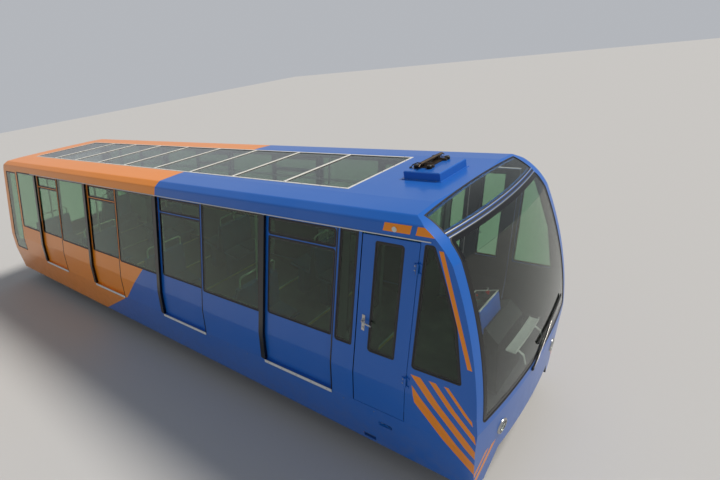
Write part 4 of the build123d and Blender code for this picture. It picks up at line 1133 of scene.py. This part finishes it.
# Woven wool moquette: matt, with a fine rib
PAD = grained("woven_seat_fabric", "#27466F", "#1E3A60", 2.5, 0.3, Roughness=0.85)
pad_turn = Matrix.Rotation(SLOPE, 3, "Y")


def bay_point(foot, level, plumb, y):
    """A point in a seat bay: level and plumb distances from the foot of its tread."""
    return Vector((foot, y, FLOOR_TOP)) + LEVEL * level + PLUMB * plumb


rails, pads = bmesh.new(), bmesh.new()
for foot in BENCH_X:
    for side in (-1, 1):
        y_in, y_out = (side * y for y in RAIL_Y)
        bend = side * RAIL_BEND
        line = ((y_in, RAIL_FOOT), (y_in, RAIL_TOP - RAIL_BEND), (y_in + bend, RAIL_TOP),
                (y_out - bend, RAIL_TOP), (y_out, RAIL_TOP - RAIL_BEND), (y_out, RAIL_FOOT))
        path = [bay_point(foot, TREAD_LEVEL / 2, up, y) for y, up in line]
        sweep(rails, path, ring_section(14), [LEVEL])
        for facing in (-1, 1):
            seat = TREAD_LEVEL / 2 + facing * PAD_FROM_BACK
            for y in PAD_Y:
                block(pads, bay_point(foot, seat, PAD_UP, side * y), PAD_SIZE, 0.010, pad_turn)
finish_piece(rails, "seat_grab_rails", [WHITE_ENAMEL])
finish_piece(pads, "seat_pads", [PAD])
print(len(BENCH_X) * 2, "grab rails")

# %% [markdown]
# ## Door pockets and ceiling lights
#
# Each door slides into a pocket behind the wall panel beside it. A pale laminate lining closes the pocket
# towards the saloon: it follows the bend of the wall, a little further in, so it is built from three rows of
# points and given a thickness. Two slim lighting channels run under the roof beside the glazed opening.

# %% Linings of the door pockets
LINING_IN = 0.0755
LINING_T = 0.004
LINING_Z = (0.895, 1.280, 1.572)
LINING_GAP = 0.01
LOWEST_BAY_X = -5.02
bays = [(door_rows[0][2], CAB_DOOR_X[0])]
bays += [(down - DOOR_PITCH + DOOR_W, down) for _, down, _ in door_rows]
bays[-1] = (LOWEST_BAY_X, bays[-1][1])
linings = bmesh.new()
for side in (-1, 1):
    for x_down, x_up in bays:
        xs = (x_down + LINING_GAP, x_up - LINING_GAP)
        grid = []
        for depth in (LINING_IN, LINING_IN + LINING_T):
            rows = [[wall_point(lean(x, z), z, side, -depth) for x in xs] for z in LINING_Z]
            grid += [[linings.verts.new(p) for p in row] for row in rows]
        outer, inner = grid[:3], grid[3:]
        for i in range(2):
            linings.faces.new((outer[i][0], outer[i][1], outer[i + 1][1], outer[i + 1][0]))
            linings.faces.new((inner[i][0], inner[i + 1][0], inner[i + 1][1], inner[i][1]))
            for k in (0, 1):
                linings.faces.new((outer[i][k], outer[i + 1][k], inner[i + 1][k], inner[i][k]))
        for i in (0, 2):
            linings.faces.new((outer[i][0], outer[i][1], inner[i][1], inner[i][0]))
finish_piece(linings, "door_pocket_linings", [LAMINATE])
print(2 * len(bays), "linings")

# %% Ceiling lights
LIGHT_X = (-4.7, 4.3)
LIGHT_Y = 0.715
LIGHT_Z = ROOF_Z - 0.030
CHANNEL = ((-45, 0), (-45, -16), (-30, -30), (30, -30), (45, -16), (45, 0))
diffusers = bmesh.new()
for side in (-1, 1):
    sweep(diffusers, [(x, side * LIGHT_Y, LIGHT_Z) for x in spaced(*LIGHT_X, 15)], CHANNEL, UP)
finish_piece(diffusers, "ceiling_lights", [PALE_EDGE])
print("lights", LIGHT_X[1] - LIGHT_X[0], "m long")

# %% [markdown]
# ## Glass in the cab screen
#
# The two framed halves behind the driver are glazed. The pane is a thin plate in the CAD frame's opening,
# and a rubber lip holds it on each face, like the outer windows.

# %% Screen panes with their lips
SCREEN_MID = 4.510
SCREEN_Y = (0.450, 1.030)
SCREEN_Z = (Z_SILL, 2.770)
HALF_PANE = 0.003
LIP = ((-9, 0), (9, 0), (7, 12), (-7, 12))
screen_glass, lips = bmesh.new(), bmesh.new()
for side in (-1, 1):
    corners = rectangle((SCREEN_Y[0], SCREEN_Z[0]), (SCREEN_Y[1], SCREEN_Z[1]), 0.0)
    ring = [Vector((lean(SCREEN_MID, z), side * y, z)) for y, z, _ in corners]
    near, far = ([p + LEVEL * facing * HALF_PANE for p in ring] for facing in (-1, 1))
    prism(screen_glass, near, far)
    sweep(lips, near, LIP, [-LEVEL], closed=True)
    sweep(lips, far, LIP, [LEVEL], closed=True)
bmesh.ops.bevel(screen_glass, geom=screen_glass.edges[:], offset=0.001, segments=1, affect="EDGES")
finish_piece(screen_glass, "cab_screen_panes", [SCREEN_GLASS])
finish_piece(lips, "cab_screen_lips", [RUBBER])
print("cab screen glazed")

# %% [markdown]
# ## Windscreen wipers
#
# The CAD wiper is the plain arm and blade. A real one has a spring loaded joint, a second link that keeps
# the blade level, a rubber edge, and a cap nut on the spindle. They follow the bowed glass, so each point is
# found on the end's face and lifted off it.

# %% Wiper joints, links and rubber
# Each wiper: its end, the spindle, and the blade's two tips, as (y, z) on the end's face
WIPERS = (
    (1, (-0.140, 1.120), (-0.020, 1.345), (0.900, 1.415)),
    (-1, (0.140, 0.930), (0.020, 1.085), (-0.800, 1.135)),
)
SPINDLE_CAP = ((0, 0), (22, 0), (22, 5), (14, 8), (14, 15), (9, 18), (0, 20))
ARM_RISE = (0.009, 0.0105, 0.012, 0.012, 0.012, 0.012, 0.0115, 0.011, 0.011)
LINK_BELOW = (0.028, 0.040)
CLIPS = (0.08, 0.30, 0.50, 0.70, 0.92)
CLIP_HALF = 0.025
CLIP_RISE = 0.0112
EDGE_BELOW = 0.014
EDGE_RISE = 0.0015


def between(start, end, t):
    """The point that share t of the way from start to end, as (y, z)."""
    return start[0] + (end[0] - start[0]) * t, start[1] + (end[1] - start[1]) * t


def over_end(end, spots, rise, below=0.0):
    """Points over an end's face; rise has how far off each spot lies, and below how far under it."""
    return [end_point(end, y, z - below, out)[0] for (y, z), out in zip(spots, rise)]


wiper_parts = bmesh.new()
for end, pivot, tip_in, tip_out in WIPERS:
    spot, normal = end_point(end, *pivot, 0.002)
    lathe(wiper_parts, SPINDLE_CAP, spot, normal, 18)
    arm = [between(pivot, between(tip_in, tip_out, 0.5), t) for t in spaced(0, 1, 8)]
    sweep(wiper_parts, over_end(end, arm, ARM_RISE), block_section(12, 6, 1.5), [normal])
    link = [(y, z - below) for (y, z), below in zip(arm, spaced(*LINK_BELOW, 8))]
    sweep(wiper_parts, over_end(end, link, ARM_RISE), ring_section(3.5, 8), [normal], index=1)
    half_clip = CLIP_HALF / (tip_out[0] - tip_in[0])
    for middle in CLIPS:
        clip = [between(tip_in, tip_out, middle + t) for t in (-half_clip, 0.0, half_clip)]
        sweep(wiper_parts, over_end(end, clip, [CLIP_RISE] * 3), block_section(16, 7, 2), [normal])
    rubber = [between(tip_in, tip_out, t) for t in spaced(0, 1, 20)]
    path = over_end(end, rubber, [EDGE_RISE] * 21, EDGE_BELOW)
    sweep(wiper_parts, path, block_section(4, 10, 1), [normal], index=2)
finish_piece(wiper_parts, "wiper_joints", [DARK_ABS, STEEL, RUBBER])
print("wipers dressed")

# %% [markdown]
# ## Bogies and wheels
#
# Each axle box has rubber springs above it under a cast shield, and a torsion bar joins the two side frames.
# Brake cylinders with their pipes lie across the frame. They ride on the bogie, so they swivel with it, and
# the wheel caps ride on their own wheelset and turn.

# %% Springs, shields, torsion bar and brakes
AXLE_Z = 0.275
FRAME_Y = 0.350
BOGIE_X = 3.900
HALF_BASE = 0.700
SPRING_UP = 0.0585
SPRING = ((0, 0), (48, 0), (48, 8), (38, 11), (50, 20), (38, 29), (50, 38), (38, 47), (48, 50), (48, 58),
          (0, 58))
CYLINDER = ((0, -110), (50, -110), (55, -100), (55, 100), (50, 110), (0, 110))
# Runs of bar and pipe as (x, y, z) from the bogie's middle at the height of the axles
TORSION_BAR = ((-0.40, -0.30, -0.03), (-0.40, -0.15, -0.03), (-0.40, 0.15, -0.03), (-0.40, 0.30, -0.03))
PIPE = ((-0.55, 0.290, 0.070), (-0.30, 0.290, 0.050), (0.30, 0.290, 0.050), (0.55, 0.290, 0.070))
HOSE = ((0.30, -0.06, 0.072), (0.21, -0.06, 0.095), (0.135, -0.06, 0.095))
for sign, label in ((-1, "bogie_downhill"), (1, "bogie_uphill")):
    middle = Vector((sign * BOGIE_X, 0, AXLE_Z))
    gear = bmesh.new()
    for x in (-HALF_BASE, HALF_BASE):
        for side in (-1, 1):
            for dx in (-0.052, 0.052):
                lathe(gear, SPRING, middle + Vector((x + dx, side * FRAME_Y, SPRING_UP)), UP[0], index=1)
            y = side * (FRAME_Y - 0.050)
            shield = [middle + Vector((x + dx, y, 0.075)) for dx in spaced(-0.10, 0.10, 10)]
            sweep(gear, shield, block_section(14, 20, 3), UP)
    sweep(gear, [middle + Vector(p) for p in TORSION_BAR], ring_section(22, 14), UP)
    for side in (-1, 1):
        pipe = [middle + Vector((x, side * y, z)) for x, y, z in PIPE]
        sweep(gear, pipe, ring_section(8, 10), UP, index=2)
    for way in (-1, 1):
        lathe(gear, CYLINDER, middle + Vector((way * 0.30, 0, 0.02)), (0, 1, 0), 24)
        hose = [middle + Vector((way * x, y, z)) for x, y, z in HOSE]
        sweep(gear, hose, ring_section(7, 8), [(0, 1, 0)], index=1)
    finish_piece(gear, f"{label}_gear", [CAST_IRON, RUBBER, STEEL], label)
print("bogies dressed")

# %% Wheel caps
CAP_TURN = ((0, 0), (70, 0), (70, 6), (52, 10), (46, 20), (18, 24), (0, 24))
RING_TURN = ((100, -38), (112, -38), (112, -30), (100, -30), (100, -38))
WHEELSETS = [f"wheelset_{number}" for number in range(1, 5)]


def wheel_faces(name):
    """The middle of a wheelset's two outer faces, with the side that each looks to."""
    low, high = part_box(name)
    x = (low[0] + high[0]) / 2
    return ((Vector((x, low[1], AXLE_Z)), -1), (Vector((x, high[1], AXLE_Z)), 1))


for name in WHEELSETS:
    wheel_caps = bmesh.new()
    for face, side in wheel_faces(name):
        lathe(wheel_caps, CAP_TURN, face, (0, side, 0), 28)
        lathe(wheel_caps, RING_TURN, face, (0, side, 0), 36)
    finish_piece(wheel_caps, f"{name}_caps", [CAST_IRON], name)
print(len(WHEELSETS), "wheelsets capped")

# %% [markdown]
# ## Screws and bolts
#
# Small fasteners hold the skirts, the roof caps, the thresholds, the wheel caps, the hitches and the cab
# hinges. Each is a head on a washer, so they are placed by a Geometry Nodes group. It takes a cloud of
# points with the way each head faces, and sets a head on each with its own spin. The result is one mesh that
# rides on one body. A fixed seed keeps the spins the same every time.

# %% A node group that sets fasteners on points
WASHER_T = 0.0016
WASHER_SIDES = 20


def fastener_group(material):
    """Points in, fasteners out: a head and a washer on each point, along the point's 'way' attribute."""
    group = bpy.data.node_groups.new("fasteners_on_points", "GeometryNodeTree")
    face = group.interface
    face.new_socket("Geometry", in_out="INPUT", socket_type="NodeSocketGeometry")
    for name in ("Head radius", "Head height", "Washer radius"):
        face.new_socket(name, in_out="INPUT", socket_type="NodeSocketFloat")
    for name in ("Head sides", "Seed"):
        face.new_socket(name, in_out="INPUT", socket_type="NodeSocketInt")
    face.new_socket("Geometry", in_out="OUTPUT", socket_type="NodeSocketGeometry")
    given = add_node(group, "NodeGroupInput").node.outputs
    sides, radius, depth = (given[name] for name in ("Head sides", "Head radius", "Head height"))
    head = add_node(group, "GeometryNodeMeshCylinder", {"Vertices": sides, "Radius": radius, "Depth": depth})
    lift = add_node(group, MATH, (depth, 0.5, WASHER_T), operation="MULTIPLY_ADD")
    washer_size = {"Vertices": WASHER_SIDES, "Radius": given["Washer radius"], "Depth": WASHER_T}
    washer = add_node(group, "GeometryNodeMeshCylinder", washer_size)
    both = add_node(group, "GeometryNodeJoinGeometry")
    for part, height in ((head, lift), (washer, WASHER_T / 2)):
        shift = add_node(group, "ShaderNodeCombineXYZ", {"Z": height})
        raised = add_node(group, "GeometryNodeTransform", {"Geometry": part, "Translation": shift})
        group.links.new(raised, both.node.inputs[0])
    way = add_node(group, "GeometryNodeInputNamedAttribute", {"Name": "way"}, data_type="FLOAT_VECTOR")
    aim = add_node(group, "FunctionNodeAlignRotationToVector", {"Vector": way}, axis="Z")
    full_turn = {"Seed": given["Seed"], 2: 0.0, 3: 2 * math.pi}
    spin = add_node(group, "FunctionNodeRandomValue", full_turn, out=1, data_type="FLOAT")
    angles = add_node(group, "ShaderNodeCombineXYZ", {"Z": spin})
    spun = add_node(group, "FunctionNodeEulerToRotation", {"Euler": angles})
    both_turns = {"Rotation": aim, "Rotate By": spun}
    turned = add_node(group, "FunctionNodeRotateRotation", both_turns, rotation_space="LOCAL")
    placing = {"Points": given["Geometry"], "Instance": both, "Rotation": turned}
    placed = add_node(group, "GeometryNodeInstanceOnPoints", placing)
    real = add_node(group, "GeometryNodeRealizeInstances", {"Geometry": placed})
    painted = add_node(group, "GeometryNodeSetMaterial", {"Geometry": real, "Material": material})
    add_node(group, "NodeGroupOutput", {"Geometry": painted})
    return group


FASTENERS = fastener_group(STEEL)
SOCKETS = {item.name: item.identifier for item in FASTENERS.interface.items_tree if item.in_out == "INPUT"}
print("the group takes", sorted(SOCKETS))

# %% One mesh of fasteners on a body
HEADS = {
    "pan": {"Head radius": 0.0045, "Head height": 0.0022, "Head sides": 16, "Washer radius": 0.0062},
    "hex": {"Head radius": 0.0110, "Head height": 0.0075, "Head sides": 6, "Washer radius": 0.0135},
    "big": {"Head radius": 0.0170, "Head height": 0.0120, "Head sides": 6, "Washer radius": 0.0215},
}


def fasteners(name, body, kind, spots, seed):
    """One mesh of fasteners for a body; spots is a list of (point, way)."""
    cloud = bpy.data.meshes.new(name + "_points")
    cloud.from_pydata([tuple(point) for point, _ in spots], [], [])
    ways = cloud.attributes.new("way", "FLOAT_VECTOR", "POINT")
    ways.data.foreach_set("vector", [c for _, way in spots for c in Vector(way).normalized()])
    holder = place(name + "_points", cloud)
    modifier = holder.modifiers.new("fasteners", "NODES")
    modifier.node_group = FASTENERS
    for key, value in HEADS[kind].items():
        modifier[SOCKETS[key]] = value
    modifier[SOCKETS["Seed"]] = seed
    graph = bpy.context.evaluated_depsgraph_get()
    mesh = bpy.data.meshes.new_from_object(holder.evaluated_get(graph))
    mesh.name = name
    bpy.data.objects.remove(holder)
    piece = place(name, mesh)
    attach(piece, body)
    print(name, len(spots), "fasteners")


# %% Screws of the skirts and thresholds
SKIRT_X = (-4.6, 5.06)
SKIRT_Z = (0.336, 0.832)
# A skirt screw is sunk by a hair and looks a little down, as the skirt does there
SKIRT_OUT = -0.0005
SKIRT_WAY = -0.2
RIB_OUT = 0.0085
RIB_END = 0.06
skirt_spots, sill_spots = [], []
for side in (-1, 1):
    for x in spaced(*SKIRT_X, 23):
        skirt_spots += [(wall_point(lean(x, z), z, side, SKIRT_OUT), (0, side, SKIRT_WAY)) for z in SKIRT_Z]
    for _, down, up in door_rows:
        xs = [lean(x, THRESHOLD_Z) for x in spaced(down + RIB_END, up - RIB_END, 4)]
        sill_spots += [(wall_point(x, THRESHOLD_Z, side, RIB_OUT), (0, side, 0)) for x in xs]
fasteners("skirt_screws", "carbody", "pan", skirt_spots, 1)
fasteners("threshold_screws", "carbody", "pan", sill_spots, 2)

# %% Screws of the roof
CAP_TOP = ROOF_Z + 0.0075
FRAME_TOP = ROOF_Z + 0.0048
FLANGE_TOP = ROOF_Z + 0.0055
edges_x = (roof_low[0] + FRAME_INSET, roof_high[0] - FRAME_INSET)
edge_y = roof_high[1] - FRAME_INSET
roof_spots = [(x, y, CAP_TOP) for x in bar_x for y in spaced(-0.60, 0.60, 6)]
roof_spots += [(x, side * edge_y, FRAME_TOP) for x in spaced(roof_low[0] + 0.12, roof_high[0] - 0.12, 30)
               for side in (-1, 1)]
roof_spots += [(x, y, FRAME_TOP) for x in edges_x for y in spaced(-0.50, 0.50, 4)]
flange_y = (box_low[1] - 0.008, box_high[1] + 0.008)
flange_x = spaced(box_low[0] + 0.05, box_high[0] - 0.05, 3)
flange_spots = [(x, y, FLANGE_TOP) for x in flange_x for y in flange_y]
fasteners("roof_screws", "carbody", "pan", [(spot, UP[0]) for spot in roof_spots], 3)
fasteners("roof_box_screws", "carbody", "pan", [(spot, UP[0]) for spot in flange_spots], 4)

# %% Bolts of the hitches and rail brakes
HITCH_PLATE = 0.025
HITCH_YZ = tuple((y, dz) for y in (-0.115, 0.115) for dz in (-0.045, 0.0, 0.045))
BRAKE_X = (-1.620, 1.620)
BRAKE_Y = 0.6205
BRAKE_XZ = tuple((dx, dz) for dx in (-0.085, 0.085) for dz in (0.035, 0.115))
bolt_spots = []
for end, name in ((1, "rope_hitch_uphill"), (-1, "rope_hitch_downhill")):
    low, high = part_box(name)
    x = low[0] + HITCH_PLATE if end > 0 else high[0] - HITCH_PLATE
    bolt_spots += [((x, y, (low[2] + high[2]) / 2 + dz), (end, 0, 0)) for y, dz in HITCH_YZ]
brake_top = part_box("rail_brakes")[1][2]
for x in BRAKE_X:
    for side in (-1, 1):
        bolt_spots += [((x + dx, side * BRAKE_Y, brake_top - dz), (0, side, 0)) for dx, dz in BRAKE_XZ]
fasteners("frame_bolts", "carbody", "big", bolt_spots, 5)

# %% Bolts of the wheels and screws of the hinges
BOLT_CIRCLE = 0.060
BOLT_OUT = 0.006
BOLTS = 8
HINGE_Z = (1.378, 1.422, 2.578, 2.622)
HINGE_PLATE_X = -0.030
HINGE_PLATE_OUT = 0.0078
for seed, name in enumerate(WHEELSETS, 6):
    spots = []
    for face, side in wheel_faces(name):
        for i in range(BOLTS):
            angle = 2 * math.pi * i / BOLTS
            spoke = (BOLT_CIRCLE * math.cos(angle), side * BOLT_OUT, BOLT_CIRCLE * math.sin(angle))
            spots.append((face + Vector(spoke), (0, side, 0)))
    fasteners(f"{name}_bolts", name, "hex", spots, seed)
for side_name, side in SIDES.items():
    spots = []
    for z in HINGE_Z:
        x = lean(CAB_DOOR_X[1] - 0.003, z) + HINGE_PLATE_X
        spots.append((wall_point(x, z, side, HINGE_PLATE_OUT), (0, side, 0)))
    fasteners(f"cab_hinge_screws_{side_name}", f"cab_door_{side_name}", "pan", spots, 10)

# %% [markdown]
# ## A plain studio
#
# The car stands on a pale matt floor under soft daylight. A wide sun comes from uphill on the far side, as in
# the photograph, so the roof is bright and the near side lies in its own shade, and a weak lamp opens that
# shade. The sky could be a picture, but a plain one lets each colour read as it is painted. It looks paler
# to the camera, in mirrors and through glass than the light it sheds. The camera stands where the
# photograph's stood.

# %% Floor
# Matt floor paint: pale, without a reflection
FLOOR_HALF = 60.0
floor_paint, _, _ = new_material("pale_matt_floor", Base_Color=srgb("#BFC0C1"), Roughness=0.9)
floor_mesh = bpy.data.meshes.new("studio_floor")
floor_mesh.from_pydata(rectangle([-FLOOR_HALF] * 2, [FLOOR_HALF] * 2, 0), [], [(0, 1, 2, 3)])
floor_mesh.materials.append(floor_paint)
place("studio_floor", floor_mesh)
print("floor", 2 * FLOOR_HALF, "m square")

# %% Sun and fill lamp
SUN_STRENGTH = 3.1
SUN_SPREAD = math.radians(14)
SUN_FROM = Vector((0.55, 0.42, 0.95))
SUN_COLOUR = srgb("#FFF7EC")[:3]
FILL_POWER = 40.0
FILL_SIZE = 6.0
FILL_FROM = Vector((3.0, -11.0, 6.0))
FILL_AT = Vector((1.5, 0, 1.2))
FILL_COLOUR = srgb("#F1F6FF")[:3]
sun_light = bpy.data.lights.new("soft_sun", "SUN")
sun_light.energy, sun_light.angle, sun_light.color = SUN_STRENGTH, SUN_SPREAD, SUN_COLOUR
place("soft_sun", sun_light).rotation_euler = SUN_FROM.to_track_quat("Z", "Y").to_euler()
fill_light = bpy.data.lights.new("near_fill", "AREA")
fill_light.size, fill_light.energy, fill_light.color = FILL_SIZE, FILL_POWER, FILL_COLOUR
fill = place("near_fill", fill_light)
fill.location = FILL_FROM
fill.rotation_euler = (FILL_AT - FILL_FROM).to_track_quat("-Z", "Y").to_euler()
print("sun", SUN_STRENGTH, "and fill", FILL_POWER)

# %% Sky
SKY_STRENGTH = 0.32
BACKDROP_STRENGTH = 0.50
SKY_COLOUR = srgb("#F4F8FF")
world = bpy.data.worlds.new("studio_sky")
bpy.context.scene.world = world
world.use_nodes = True
sky = world.node_tree
sky.nodes.clear()
rays = add_node(sky, "ShaderNodeLightPath").node.outputs
seen = 0.0
for kind in ("Is Camera Ray", "Is Glossy Ray", "Is Transmission Ray"):
    seen = add_node(sky, MATH, (rays[kind], seen), operation="MAXIMUM")
strength = add_node(sky, RANGE, (seen, 0.0, 1.0, SKY_STRENGTH, BACKDROP_STRENGTH))
background = add_node(sky, "ShaderNodeBackground", {"Color": SKY_COLOUR, "Strength": strength})
add_node(sky, "ShaderNodeOutputWorld", {"Surface": background})
print("sky", SKY_STRENGTH, "and backdrop", BACKDROP_STRENGTH)

# %% Camera
CAMERA_AT = (8.062, -4.561, 4.623)
CAMERA_RIGHT = Vector((0.7739, 0.6188, -0.1348))
CAMERA_UP = Vector((-0.0070, 0.2212, 0.9752))
CAMERA_BACK = Vector((0.6333, -0.7537, 0.1755))
CAMERA_LENS = 24.96
CAMERA_SHIFT = (0.0, -0.15)
axes = Matrix((CAMERA_RIGHT, CAMERA_UP, CAMERA_BACK)).transposed()
camera = place("photo_camera", bpy.data.cameras.new("photo_camera"))
camera.matrix_world = Matrix.Translation(CAMERA_AT) @ axes.to_4x4()
camera.data.lens = CAMERA_LENS
camera.data.shift_x, camera.data.shift_y = CAMERA_SHIFT
bpy.context.scene.camera = camera
bpy.context.scene.view_settings.view_transform = "Standard"
print("camera with a", CAMERA_LENS, "mm lens")
